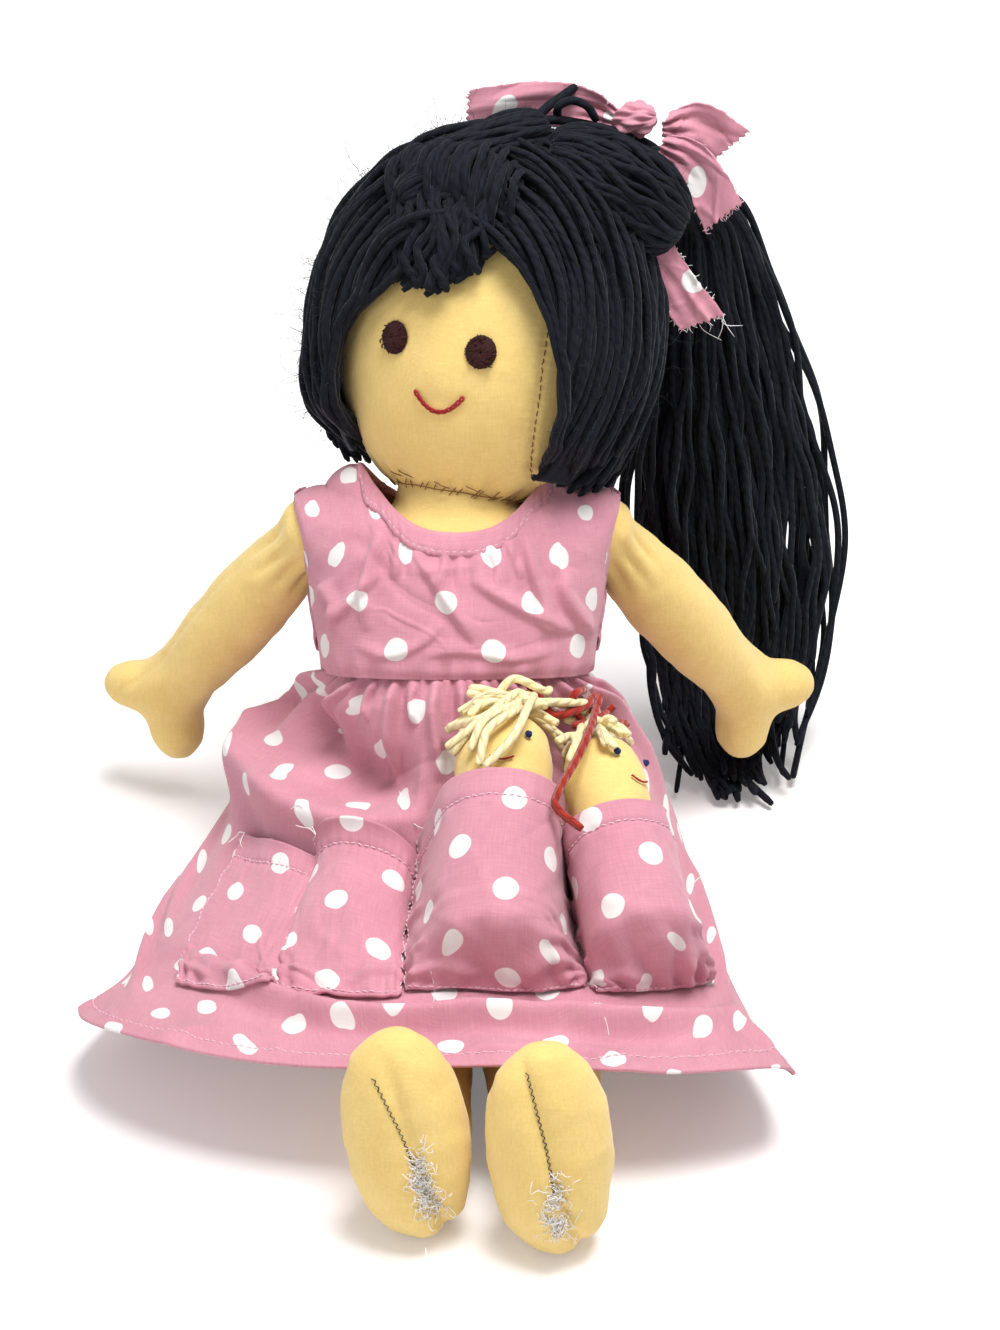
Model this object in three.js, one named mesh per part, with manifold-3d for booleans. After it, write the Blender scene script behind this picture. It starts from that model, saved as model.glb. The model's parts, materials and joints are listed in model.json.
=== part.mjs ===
// A stuffed rag doll that sits with its legs out, in a dotted pinafore with four lap pockets.
// Millimetres. +Z is up, the doll faces -Y, and the origin is on the floor under the hip line.
import * as THREE from "three";
import { mergeVertices } from "three/addons/utils/BufferGeometryUtils.js";
import Module from "manifold-3d";

const wasm = await Module();
wasm.setup();

// Clearances and cloth
const CLEAR = 0.35; // gap between two pieces that touch
const CLOTH = 1.2; // thickness of the dress cotton
const RIBBON_CLOTH = 1.2; // thickness of the folded ribbon
const STITCH = 0.7; // radius of a row of thick hand stitches

// Posture
const RECLINE = 28; // degrees the back leans behind upright
const HEAD_ROLL = 9; // degrees the head leans to the doll's left
const HEAD_TURN = -17; // degrees the face turns to the doll's right
const LEG_YAW = 3.5; // degrees both legs drift to the doll's left

// Body
const SEAT_RADIUS = 36.5; // roundness of the body about the hip line
const HIP_HALF_WIDTH = 47;
const WAIST_HALF_WIDTH = 42.5;
const WAIST_HALF_DEPTH = 34.5;
const WAIST_HEIGHT = 57; // hip line to waist seam, along the back
const CHEST_HALF_WIDTH = 49;
const CHEST_HALF_DEPTH = 29;
const CHEST_HEIGHT = 100;
const SHOULDER_HEIGHT = 105;
const SHOULDER_SPAN = 98; // between the two shoulder centres
const SHOULDER_BALL = 13;
const NECK_HEIGHT = 116; // centre of the neck's rounded top
const NECK_RADIUS = 22;
const SEAT_FLAT = 0.5; // how deep the seat is flattened by the weight on it
const hipHeight = SEAT_RADIUS - SEAT_FLAT + CLOTH + 2 * CLEAR;

// Head and face
const HEAD_HALF_WIDTH = 51;
const HEAD_HALF_DEPTH = 46;
const HEAD_HALF_HEIGHT = 62;
const HEAD_CENTRE = 57; // above the neck's centre
const EYE_SPAN = 29;
const EYE_HEIGHT = 52;
const EYE_RADIUS = 5;
const EYE_THICK = 1.4;
const MOUTH_HEIGHT = 35;
const MOUTH_HALF_WIDTH = 8.5;
const MOUTH_SAG = 6;

// Wig
const HAIR_THICK = 12;
const HAIR_RIDGE = 1.3; // depth of the ridges between locks
const PARTING_GAP = 0.5;
const FACE_OPENING_HALF_WIDTH = 38;
const FACE_OPENING_TOP = 86; // above the neck's centre
const PUFF_RADIUS = 19;
const ROLL_RADIUS = 11.5;
const TAIL_LOCKS = 7;
const TIE_RADIUS = 9.5;

// Arms and legs
const ARM_REACH = 117; // shoulder centre to the middle of the hand
const ARM_SPLAY = 33; // degrees each arm leans out
const ARM_BACK = 46; // degrees each arm hangs back from the line of the body
const ARM_RADIUS = 15.5;
const WRIST_RADIUS = 12.5;
const HAND_HALF_WIDTH = 18;
const HAND_HALF_DEPTH = 13;
const THUMB_RADIUS = 9;
const LEG_RADIUS = 21;
const ANKLE_RADIUS = 17.5;
const HEEL_REACH = 184; // hip line to the right sole
const LEFT_REACH = 7; // how much further the left leg reaches
const FOOT_LENGTH = 72;
const FOOT_HALF_WIDTH = 20.5;
const FOOT_HALF_DEPTH = 17;
const FEET_SPAN = 41; // between the two feet at the soles
const FEET_LEAN = 6.5; // how far both toes lean to the doll's right
const TOE_TURN = 2; // how far each toe leans out

// Pocket babies
const BABY_LENGTH = 88;
const BABY_RADIUS = 17;
const SMALL_BABY_LENGTH = 82;
const SMALL_BABY_RADIUS = 14.5;
const BABY_EYE_RADIUS = 1.9;
const YARN = 3.6; // thickness of the babies' yarn

// General helpers

const radians = THREE.MathUtils.degToRad;
const vec = (x, y, z) => new THREE.Vector3(x, y, z);

// A solid for joining and cutting, from a closed geometry.
function solidOf(geometry) {
  const plain = geometry.clone();
  plain.deleteAttribute("normal");
  plain.deleteAttribute("uv");
  const merged = mergeVertices(plain, 1e-4);
  const vertProperties = new Float32Array(merged.attributes.position.array);
  const triVerts = new Uint32Array(merged.index.array);
  return new wasm.Manifold(new wasm.Mesh({ numProp: 3, vertProperties, triVerts }));
}

// The geometry of a solid.
function geometryOf(solid) {
  const { vertProperties, triVerts, numProp, numVert } = solid.getMesh();
  const positions = new Float32Array(numVert * 3);
  for (let i = 0; i < numVert; i++) {
    positions.set(vertProperties.subarray(i * numProp, i * numProp + 3), i * 3);
  }
  const geometry = new THREE.BufferGeometry();
  geometry.setAttribute("position", new THREE.BufferAttribute(positions, 3));
  geometry.setIndex(new THREE.BufferAttribute(new Uint32Array(triVerts), 1));
  return geometry;
}

const joined = (...parts) => geometryOf(parts.map(solidOf).reduce((a, b) => a.add(b)));
const carved = (body, ...cutters) =>
  geometryOf(cutters.map(solidOf).reduce((a, b) => a.subtract(b), solidOf(body)));
const common = (a, b) => geometryOf(solidOf(a).intersect(solidOf(b)));

// The largest of the separate bodies that a cut leaves.
function largestPiece(geometry) {
  const pieces = solidOf(geometry).decompose();
  pieces.sort((a, b) => b.volume() - a.volume());
  return geometryOf(pieces[0]);
}

// Turns a closed surface so that its faces point out.
function facingOut(positions, index) {
  let volume = 0;
  const corner = (i) => vec(...positions.slice(3 * i, 3 * i + 3));
  for (let i = 0; i < index.length; i += 3) {
    volume += corner(index[i]).dot(corner(index[i + 1]).cross(corner(index[i + 2])));
  }
  if (volume < 0) {
    for (let i = 0; i < index.length; i += 3) {
      [index[i + 1], index[i + 2]] = [index[i + 2], index[i + 1]];
    }
  }
  const geometry = new THREE.BufferGeometry();
  geometry.setAttribute("position", new THREE.Float32BufferAttribute(positions, 3));
  geometry.setIndex(index);
  return geometry;
}

// A closed solid through rings that all have the same number of points, with a fan over each end.
function loft(rings) {
  const sides = rings[0].length;
  const positions = rings.flat().flatMap((p) => [p.x, p.y, p.z]);
  const index = [];
  for (let r = 0; r + 1 < rings.length; r++) {
    for (let s = 0; s < sides; s++) {
      const a = r * sides + s;
      const b = r * sides + ((s + 1) % sides);
      index.push(a, b, b + sides, a, b + sides, a + sides);
    }
  }
  for (const r of [0, rings.length - 1]) {
    const centre = rings[r].reduce((sum, p) => sum.add(p), vec(0, 0, 0)).divideScalar(sides);
    const tip = positions.length / 3;
    positions.push(centre.x, centre.y, centre.z);
    for (let s = 0; s < sides; s++) {
      const a = r * sides + s;
      const b = r * sides + ((s + 1) % sides);
      index.push(...(r === 0 ? [b, a, tip] : [a, b, tip]));
    }
  }
  return facingOut(positions, index);
}

// One level ring of a stuffed body: a rounded box section, wide along X and deep along Y.
function bodyRing(wide, deep, height, sides, squareness = 2) {
  const ring = [];
  for (let s = 0; s < sides; s++) {
    const angle = (2 * Math.PI * s) / sides;
    const x = Math.cos(angle);
    const y = Math.sin(angle);
    const stretch = (Math.abs(x) ** squareness + Math.abs(y) ** squareness) ** (-1 / squareness);
    ring.push(vec(wide * x * stretch, deep * y * stretch, height));
  }
  return ring;
}

// Value of a smooth curve through [place, value] points.
function smoothThrough(points, place) {
  const last = points.length - 1;
  if (place <= points[0][0]) return points[0][1];
  if (place >= points[last][0]) return points[last][1];
  const i = points.findIndex((p) => p[0] > place) - 1;
  const [x0, y0] = points[i];
  const [x1, y1] = points[i + 1];
  const slope = (a, b) => (points[b][1] - points[a][1]) / (points[b][0] - points[a][0]);
  const m0 = i > 0 ? slope(i - 1, i + 1) : slope(0, 1);
  const m1 = i + 1 < last ? slope(i, i + 2) : slope(i, i + 1);
  const t = (place - x0) / (x1 - x0);
  const h = x1 - x0;
  return (
    y0 * (1 + 2 * t) * (1 - t) ** 2 +
    y1 * t * t * (3 - 2 * t) +
    h * m0 * t * (1 - t) ** 2 +
    h * m1 * t * t * (t - 1)
  );
}

// A stuffed tube along a path; each section has [share of the way, half width, half depth].
function stuffedTube(path, sections, sides, sideways) {
  const rings = sections.map(([share, wide, deep]) => {
    const centre = path.getPoint(share);
    const along = path.getTangent(share);
    const across = sideways.clone().addScaledVector(along, -sideways.dot(along)).normalize();
    const up = along.clone().cross(across);
    const ring = [];
    for (let s = 0; s < sides; s++) {
      const angle = (2 * Math.PI * s) / sides;
      ring.push(
        centre
          .clone()
          .addScaledVector(across, wide * Math.cos(angle))
          .addScaledVector(up, deep * Math.sin(angle)),
      );
    }
    return ring;
  });
  return loft(rings);
}

// A sheet of cloth of even thickness over a surface of (u, v), each from 0 to 1.
function sheet(surface, across, along, thickness) {
  const step = 1e-3;
  const layers = [[], []];
  for (let j = 0; j <= along; j++) {
    for (let i = 0; i <= across; i++) {
      const u = i / across;
      const v = j / along;
      const du = surface(Math.min(u + step, 1), v).sub(surface(Math.max(u - step, 0), v));
      const dv = surface(u, Math.min(v + step, 1)).sub(surface(u, Math.max(v - step, 0)));
      const normal = du.cross(dv).normalize();
      const middle = surface(u, v);
      layers[0].push(middle.clone().addScaledVector(normal, thickness / 2));
      layers[1].push(middle.clone().addScaledVector(normal, -thickness / 2));
    }
  }
  const positions = layers.flat().flatMap((p) => [p.x, p.y, p.z]);
  const under = layers[0].length;
  const at = (i, j) => j * (across + 1) + i;
  const index = [];
  const quad = (a, b, c, d) => index.push(a, b, c, a, c, d);
  for (let j = 0; j < along; j++) {
    for (let i = 0; i < across; i++) {
      quad(at(i, j), at(i + 1, j), at(i + 1, j + 1), at(i, j + 1));
      quad(under + at(i, j), under + at(i, j + 1), under + at(i + 1, j + 1), under + at(i + 1, j));
    }
  }
  for (let i = 0; i < across; i++) {
    quad(at(i, 0), under + at(i, 0), under + at(i + 1, 0), at(i + 1, 0));
    quad(at(i + 1, along), under + at(i + 1, along), under + at(i, along), at(i, along));
  }
  for (let j = 0; j < along; j++) {
    quad(at(0, j + 1), under + at(0, j + 1), under + at(0, j), at(0, j));
    quad(at(across, j), under + at(across, j), under + at(across, j + 1), at(across, j + 1));
  }
  return facingOut(positions, index);
}

const boxBetween = (low, high) =>
  new THREE.BoxGeometry(high.x - low.x, high.y - low.y, high.z - low.z).translate(
    (low.x + high.x) / 2,
    (low.y + high.y) / 2,
    (low.z + high.z) / 2,
  );
const ball = (radius, centre, sides = 16) =>
  new THREE.SphereGeometry(radius, sides, Math.round(sides * 0.65)).translate(...centre);
const ellipsoid = (wide, deep, high, centre, sides = 22, rows = 13) =>
  new THREE.SphereGeometry(1, sides, rows)
    .rotateX(Math.PI / 2)
    .scale(wide, deep, high)
    .translate(...centre);
const curveThrough = (...points) => new THREE.CatmullRomCurve3(points.map((p) => vec(...p)));

function cloth(colour) {
  return new THREE.MeshStandardMaterial({ color: colour, roughness: 0.92, metalness: 0 });
}
const skinCotton = () => cloth(0xe9cf88);
const pinkCotton = () => cloth(0xc87f99);
const darkYarn = () => cloth(0x0d1020);
const feltBrown = () => cloth(0x2a100d);
const redThread = () => cloth(0x8e1418);
const creamYarn = () => cloth(0xeedf9f);
const redYarn = () => cloth(0x8c150f);
const blueThread = () => cloth(0x1d2c5c);
const brownThread = () => cloth(0x6d4a24);

// Frames of the pieces

const doll = new THREE.Group();
const lap = new THREE.Group();
const upper = new THREE.Group();
upper.position.z = hipHeight;
upper.rotation.x = -radians(RECLINE);
const headFrame = new THREE.Group();
headFrame.position.z = NECK_HEIGHT;
headFrame.rotation.set(0, radians(HEAD_ROLL), radians(HEAD_TURN));
upper.add(headFrame);
doll.add(lap, upper);
doll.updateMatrixWorld(true);

function place(group, name, geometry, material) {
  const mesh = new THREE.Mesh(geometry, material);
  mesh.name = name;
  group.add(mesh);
  return mesh;
}

// A copy of a geometry that moves from one frame to another.
function moved(geometry, from, to) {
  return geometry.clone().applyMatrix4(to.matrixWorld.clone().invert().multiply(from.matrixWorld));
}

// Body

const torsoTop = NECK_HEIGHT - 5.5; // where the shoulders run into the neck

function torsoHalfWidth(height) {
  if (height <= 0) {
    const fall = 1 - (height / SEAT_RADIUS) ** 2;
    return HIP_HALF_WIDTH * Math.max(fall, 0) ** 0.36;
  }
  return smoothThrough(
    [
      [0, HIP_HALF_WIDTH],
      [WAIST_HEIGHT, WAIST_HALF_WIDTH],
      [CHEST_HEIGHT, CHEST_HALF_WIDTH],
      [SHOULDER_HEIGHT + 2, CHEST_HALF_WIDTH - 6],
      [torsoTop, NECK_RADIUS + 6],
    ],
    height,
  );
}

function torsoHalfDepth(height) {
  if (height <= 0) return SEAT_RADIUS * Math.sqrt(Math.max(1 - (height / SEAT_RADIUS) ** 2, 0));
  return smoothThrough(
    [
      [0, SEAT_RADIUS],
      [WAIST_HEIGHT, WAIST_HALF_DEPTH],
      [CHEST_HEIGHT, CHEST_HALF_DEPTH],
      [SHOULDER_HEIGHT + 2, NECK_RADIUS + 4],
      [torsoTop, NECK_RADIUS],
    ],
    height,
  );
}

const torsoLevels = [0, 14, 28, 42, WAIST_HEIGHT, 72, 86, CHEST_HEIGHT, SHOULDER_HEIGHT + 1];

// The stuffed body between two heights, made larger all round by a margin.
function torsoForm(margin, low, high, sides = 24) {
  const levels = torsoLevels.filter((level) => level > low + 1 && level < high - 1);
  const rings = [low, ...levels, high].map((height) => {
    const wide = torsoHalfWidth(height) + margin;
    return bodyRing(wide, torsoHalfDepth(height) + margin, height, sides, 2.25);
  });
  return loft(rings);
}

const shoulder = (side) => vec((side * SHOULDER_SPAN) / 2, 0, SHOULDER_HEIGHT);

// The rounded underside, swept about the hip line so that the legs swing round it.
function seatForm(margin, sides = 24) {
  const rings = [];
  for (const degrees of [4, 22, 42, 62, 80, 90]) {
    const height = -(SEAT_RADIUS + margin) * Math.cos(radians(degrees));
    const shrink = Math.sin(radians(degrees));
    const wide = (HIP_HALF_WIDTH + margin) * shrink ** 0.7;
    rings.push(bodyRing(wide, (SEAT_RADIUS + margin) * shrink, height, sides, 2.25));
  }
  return loft(rings);
}

const floorSlab = (top) => boxBetween(vec(-200, -300, -60), vec(200, 200, top));
const neckBall = (margin) => ball(NECK_RADIUS + margin, vec(0, 0, NECK_HEIGHT), 20);

function torsoGeometry() {
  const stuffed = joined(
    torsoForm(0, 0, torsoTop),
    seatForm(0),
    neckBall(0),
    ball(SHOULDER_BALL, shoulder(-1), 12),
    ball(SHOULDER_BALL, shoulder(1), 12),
  );
  return carved(stuffed, moved(floorSlab(CLOTH + 2 * CLEAR), doll, upper));
}

// Bodice

const bodiceClear = CLEAR;
const bodiceLow = WAIST_HEIGHT - 2;
const NECKLINE_HALF_WIDTH = 36;
const NECKLINE_DROP = 24; // below the shoulder's top edge
const STRAP_HEIGHT = 118;
const ARMHOLE_RADIUS = 25;
const STRAP_REACH = 9; // how far each strap reaches out past the shoulder's centre
const ARMHOLE_TOP = 3; // above the shoulder's centre, at the front
const ARMHOLE_BACK_TOP = 11; // the same at the back, where the arm hangs

// A U-shaped scoop through the whole bodice; the back is cut less deep than the front.
function neckline(depth, back) {
  const outline = new THREE.Shape();
  const low = STRAP_HEIGHT - depth;
  outline.moveTo(-NECKLINE_HALF_WIDTH, STRAP_HEIGHT + 30);
  outline.lineTo(-NECKLINE_HALF_WIDTH, STRAP_HEIGHT - 1);
  outline.quadraticCurveTo(-NECKLINE_HALF_WIDTH + 5, low, 0, low);
  outline.quadraticCurveTo(NECKLINE_HALF_WIDTH - 5, low, NECKLINE_HALF_WIDTH, STRAP_HEIGHT - 1);
  outline.lineTo(NECKLINE_HALF_WIDTH, STRAP_HEIGHT + 30);
  const cutter = new THREE.ExtrudeGeometry(outline, {
    depth: 80,
    bevelEnabled: false,
    curveSegments: 8,
  });
  cutter.rotateX(Math.PI / 2);
  return back ? cutter.translate(0, 80, 0) : cutter;
}

// The arm's opening ends under the strap, which lies over the shoulder.
function armhole(side, front) {
  const { x, z } = shoulder(side);
  const hole = new THREE.CylinderGeometry(ARMHOLE_RADIUS, ARMHOLE_RADIUS, 40, 20);
  hole.rotateZ(Math.PI / 2).scale(1, 0.92, 1).translate(x + side * 13, 0, z - 8);
  const top = z + (front ? ARMHOLE_TOP : ARMHOLE_BACK_TOP);
  const below = boxBetween(vec(-120, -90, 0), vec(120, 90, top));
  const edge = Math.abs(x) + STRAP_REACH;
  const outside = boxBetween(vec(edge, -90, 0), vec(edge + 30, 90, 200));
  if (side < 0) outside.rotateZ(Math.PI);
  return joined(common(hole, below), outside);
}

function bodiceGeometry(front) {
  const inner = joined(
    torsoForm(bodiceClear, bodiceLow - 12, torsoTop),
    neckBall(bodiceClear),
    ball(SHOULDER_BALL + bodiceClear, shoulder(-1), 12),
    ball(SHOULDER_BALL + bodiceClear, shoulder(1), 12),
  );
  const outer = joined(
    torsoForm(bodiceClear + CLOTH, bodiceLow, torsoTop),
    ball(SHOULDER_BALL + bodiceClear + CLOTH, shoulder(-1), 12),
    ball(SHOULDER_BALL + bodiceClear + CLOTH, shoulder(1), 12),
  );
  const shell = carved(outer, inner);
  const depth = front ? NECKLINE_DROP : NECKLINE_DROP / 2;
  const open = carved(shell, neckline(depth, !front), armhole(-1, front), armhole(1, front));
  const seam = CLEAR / 2;
  const half = front
    ? boxBetween(vec(-90, -90, 0), vec(90, -seam, 200))
    : boxBetween(vec(-90, seam, 0), vec(90, 90, 200));
  return largestPiece(common(open, half));
}

// Skirt: half rings from the waist seam to the hem, the front over the lap, the back on the floor

const skirtWaistWide = WAIST_HALF_WIDTH + bodiceClear + CLOTH / 2;
const skirtWaistDeep = WAIST_HALF_DEPTH + bodiceClear + CLOTH / 2;
const waistPoint = (x, y) =>
  upper.localToWorld(vec(x, y, bodiceLow - CLEAR - 0.7 * CLOTH));
const lapTop = 2 * LEG_RADIUS + 2 * CLEAR + CLOTH;
const onFloor = CLOTH / 2;
const skirtSide = {
  left: [
    waistPoint(-skirtWaistWide, 0),
    vec(-58, 50, 58),
    vec(-82, 46, 20),
    vec(-103, -4, 8),
    vec(-112, -55, 14),
    vec(-125, -87, 24),
  ],
  right: [
    waistPoint(skirtWaistWide, 0),
    vec(57, 50, 58),
    vec(76, 46, 20),
    vec(86, -4, 8),
    vec(96, -78, 19),
    vec(109, -126, 27),
  ],
  front: [
    waistPoint(0, -skirtWaistDeep),
    vec(0, -20.5, 79),
    vec(0, -46, lapTop + 6),
    vec(0, -85, lapTop + 2),
    vec(2, -122, lapTop + 1),
    vec(5, -147, lapTop + 1.5),
  ],
  back: [
    waistPoint(0, skirtWaistDeep),
    vec(0, 66, 32),
    vec(0, 62, 4),
    vec(0, 34, onFloor),
    vec(0, -12, onFloor),
    vec(0, -50, onFloor),
  ],
};
const guide = Object.fromEntries(
  Object.entries(skirtSide).map(([name, points]) => [
    name,
    new THREE.CatmullRomCurve3(points, false, "centripetal"),
  ]),
);
const GATHERS = 9;
const GATHER_DEPTH = 1.6;
const FOLD_DEPTH = 6; // the deep fold from the left hip to the lap

// A point on the front or back half of the skirt; turn runs from -1 at the left seam to 1 at the right.
function skirtPoint(turn, share, front) {
  const middle = (front ? guide.front : guide.back).getPoint(share);
  const side = (turn < 0 ? guide.left : guide.right).getPoint(share);
  const angle = (Math.abs(turn) * Math.PI) / 2;
  const out = 1 - Math.cos(angle);
  const rise = front ? out : out ** (1 + 0.8 * Math.min(1, share * 3));
  return vec(
    middle.x + (side.x - middle.x) * Math.sin(angle),
    middle.y + (side.y - middle.y) * out,
    middle.z + (side.z - middle.z) * rise,
  );
}

// Gathers under the waist and the deep fold at the left, as heights proud of the smooth skirt.
function skirtRelief(turn, share, front) {
  const edge = 1 - turn ** 4;
  const gathers = GATHER_DEPTH * edge * Math.exp(-((share / 0.3) ** 2)) * Math.min(1, share * 12);
  const wave = gathers * (1 + Math.cos(2 * Math.PI * GATHERS * (turn + 1) * 0.5));
  if (!front) return share < 0.3 ? wave : 0;
  const foldCentre = -0.74 + 0.36 * share;
  const across = (turn - foldCentre) / 0.1;
  const along = Math.exp(-(((share - 0.34) / 0.2) ** 2));
  const fold = FOLD_DEPTH * along * (Math.exp(-((across - 1.2) ** 2)) + Math.exp(-((across + 1.2) ** 2)));
  const hemWave = 1.2 * Math.max(0, share - 0.8) * 5 * (1 + Math.sin(9 * turn + 1));
  return wave + fold + hemWave;
}

function surfaceNormal(surface, u, v, step = 2e-3) {
  const du = surface(u + step, v).sub(surface(u - step, v));
  const dv = surface(u, v + step).sub(surface(u, v - step));
  return du.cross(dv).normalize();
}

const seamTurn = (share) => 1 - (0.5 * CLEAR) / (20 + 40 * share);

function skirtSurface(front) {
  const smooth = (turn, share) => skirtPoint(turn, Math.min(Math.max(share, 0), 1), front);
  return (turn, share) => {
    const inside = Math.min(Math.max(share, 0.004), 0.996);
    const limit = Math.min(Math.max(turn, -0.985), 0.985);
    const normal = surfaceNormal(smooth, limit, inside);
    if (front ? normal.z < 0 : false) normal.negate();
    const point = smooth(turn, share);
    const centre = vec(0, 10, 50);
    if (!front && normal.dot(point.clone().sub(centre)) < 0) normal.negate();
    return point.addScaledVector(normal, skirtRelief(turn, share, front));
  };
}

const frontSkirt = skirtSurface(true);
const backSkirt = skirtSurface(false);

// The front of the skirt with room round it.
const frontSkirtSheet = (room) =>
  sheet((u, share) => frontSkirt(2 * u - 1, share), 24, 12, CLOTH + room);

function skirtGeometry(front) {
  const surface = front ? frontSkirt : backSkirt;
  const laid = (u, share) => surface((2 * u - 1) * seamTurn(share), share);
  if (front) return sheet(laid, 24, 12, CLOTH);
  return carved(sheet(laid, 18, 11, CLOTH), frontSkirtSheet(2 * CLEAR));
}

// The body, the legs and the floor leave no room for cloth.
function clearOfBody(geometry, legs) {
  const above = boxBetween(vec(-200, -300, 0), vec(200, 200, 300));
  const body = moved(joined(torsoForm(CLEAR, 0, torsoTop), seatForm(CLEAR)), upper, doll);
  return largestPiece(carved(common(geometry, above), body, ...legs));
}

// Legs

const legPath = (side) => {
  const drift = Math.tan(radians(LEG_YAW));
  const start = side * 0.5 * (FEET_SPAN + 1);
  const x = (y) => start - drift * (y + 4);
  const rear = -SEAT_RADIUS - 2 * CLEAR - 0.2;
  const sole = -HEEL_REACH - (side > 0 ? LEFT_REACH : 0);
  return new THREE.LineCurve3(vec(x(rear), rear, LEG_RADIUS), vec(x(sole), sole, LEG_RADIUS));
};

// A stuffed leg ends in a foot that stands up from its heel, with its sole to the front.
function legForm(side, margin) {
  const path = legPath(side);
  const drop = LEG_RADIUS - ANKLE_RADIUS;
  const rear = path.getPoint(0);
  const front = path.getPoint(1);
  const shin = front.clone().add(vec(0, 2 * FOOT_HALF_DEPTH - 4, -drop));
  const line = new THREE.LineCurve3(rear, shin);
  const tube = stuffedTube(
    line,
    [
      [0, LEG_RADIUS - 4 + margin, LEG_RADIUS - 4 + margin],
      [0.035, LEG_RADIUS - 0.8 + margin, LEG_RADIUS - 0.8 + margin],
      [0.12, LEG_RADIUS + margin, LEG_RADIUS + margin],
      [0.5, LEG_RADIUS - 0.6 + margin, LEG_RADIUS - 0.6 + margin],
      [0.85, ANKLE_RADIUS + margin, ANKLE_RADIUS + margin],
      [1, ANKLE_RADIUS - 1 + margin, ANKLE_RADIUS - 1 + margin],
    ],
    16,
    vec(1, 0, 0),
  );
  const heel = front.clone().add(vec(0, FOOT_HALF_DEPTH, 0));
  heel.z = 0.5;
  const toe = heel.clone().add(vec(side * TOE_TURN - FEET_LEAN, 8, FOOT_LENGTH));
  const foot = stuffedTube(
    new THREE.LineCurve3(heel, toe),
    [
      [0 - margin / 80, 6 + margin, 7 + margin],
      [0.04, 11.5 + margin, 11.5 + margin],
      [0.14, 16.5 + margin, 15 + margin],
      [0.32, FOOT_HALF_WIDTH - 1 + margin, FOOT_HALF_DEPTH + margin],
      [0.52, FOOT_HALF_WIDTH + margin, FOOT_HALF_DEPTH - 1 + margin],
      [0.72, FOOT_HALF_WIDTH - 1.5 + margin, FOOT_HALF_DEPTH - 3.5 + margin],
      [0.88, FOOT_HALF_WIDTH - 6 + margin, FOOT_HALF_DEPTH - 7 + margin],
      [0.97, 8 + margin, 6 + margin],
      [1 + margin / 80, 3 + margin, 2.5 + margin],
    ],
    20,
    vec(1, 0, 0),
  );
  return joined(tube, foot);
}

// Everything above the floor on one side of the slanted line between the legs.
function legSpace(side) {
  const middle = legPath(1).getPoint(0).add(legPath(-1).getPoint(0)).multiplyScalar(0.5);
  const inner = (y) => middle.x - Math.tan(radians(LEG_YAW)) * (y - middle.y) + (side * CLEAR) / 2;
  const outline = new THREE.Shape();
  outline.moveTo(inner(-260), -260);
  outline.lineTo(inner(20), 20);
  outline.lineTo(inner(20) + side * 120, 20);
  outline.lineTo(inner(-260) + side * 120, -260);
  outline.closePath();
  return new THREE.ExtrudeGeometry(outline, { depth: 140, bevelEnabled: false });
}

function legGeometry(side) {
  const body = moved(joined(torsoForm(CLEAR, 0, torsoTop), seatForm(CLEAR)), upper, doll);
  return largestPiece(carved(common(legForm(side, 0), legSpace(side)), body));
}

// Babies: a bean-shaped body that stands in its pocket with its head out

const babyBed = lapTop + CLOTH + CLEAR;
const babies = [
  {
    name: "baby_1",
    foot: vec(12, -101, babyBed + BABY_RADIUS - 4),
    tilt: 25,
    lean: 4,
    length: BABY_LENGTH,
    radius: BABY_RADIUS,
    face: 0,
    neighbour: 1,
    strands: 10,
  },
  {
    name: "baby_2",
    foot: vec(62, -97, babyBed + SMALL_BABY_RADIUS - 5),
    tilt: 24,
    lean: -11.5,
    length: SMALL_BABY_LENGTH,
    radius: SMALL_BABY_RADIUS,
    face: 42,
    neighbour: -1,
    strands: 7,
  },
];

// The frame of a baby: Z runs from its foot to the top of its head, and it faces away from the lap.
for (const baby of babies) {
  baby.frame = new THREE.Group();
  baby.frame.position.copy(baby.foot);
  baby.frame.rotation.set(-radians(90 - baby.tilt), 0, -radians(baby.lean), "ZXY");
  lap.add(baby.frame);
}
doll.updateMatrixWorld(true);

// Half width of a baby at a share of its length: a narrow foot, a slight neck and a round head.
const babyProfile = [
  [0, 0.4],
  [0.04, 0.7],
  [0.13, 0.92],
  [0.3, 1],
  [0.6, 0.95],
  [0.8, 1],
  [0.92, 0.84],
  [0.975, 0.55],
  [1, 0.25],
];

function babyForm({ length, radius }) {
  const rings = babyProfile.map(([share, size]) =>
    bodyRing(radius * size, radius * size, share * length, 16),
  );
  return loft(rings);
}

const babyRadiusAt = ({ length, radius }, height) =>
  radius * smoothThrough(babyProfile, height / length);

// A small round knot or felt dot that sits on a baby's head.
function babyDot(baby, across, height, size) {
  const radius = babyRadiusAt(baby, height);
  const angle = radians(baby.face) + across / radius;
  const reach = radius + CLEAR + size * 0.35;
  const dot = new THREE.SphereGeometry(size, 10, 6);
  dot.scale(1, 0.35, 1).rotateZ(angle);
  return dot.translate(reach * Math.sin(angle), -reach * Math.cos(angle), height);
}

// A thin smile of thread, as a tube along a sagging line on a round head.
function smile(halfWidth, sag, thread, onFace) {
  const points = [];
  for (let i = 0; i <= 6; i++) {
    const across = halfWidth * (i / 3 - 1);
    points.push(onFace(across, -sag * (1 - (across / halfWidth) ** 2)));
  }
  const path = new THREE.CatmullRomCurve3(points);
  const outline = new THREE.Shape();
  outline.absarc(0, 0, thread, 0, 2 * Math.PI);
  const steps = { steps: 10, curveSegments: 3, bevelEnabled: false, extrudePath: path };
  return new THREE.ExtrudeGeometry(outline, steps);
}

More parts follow.
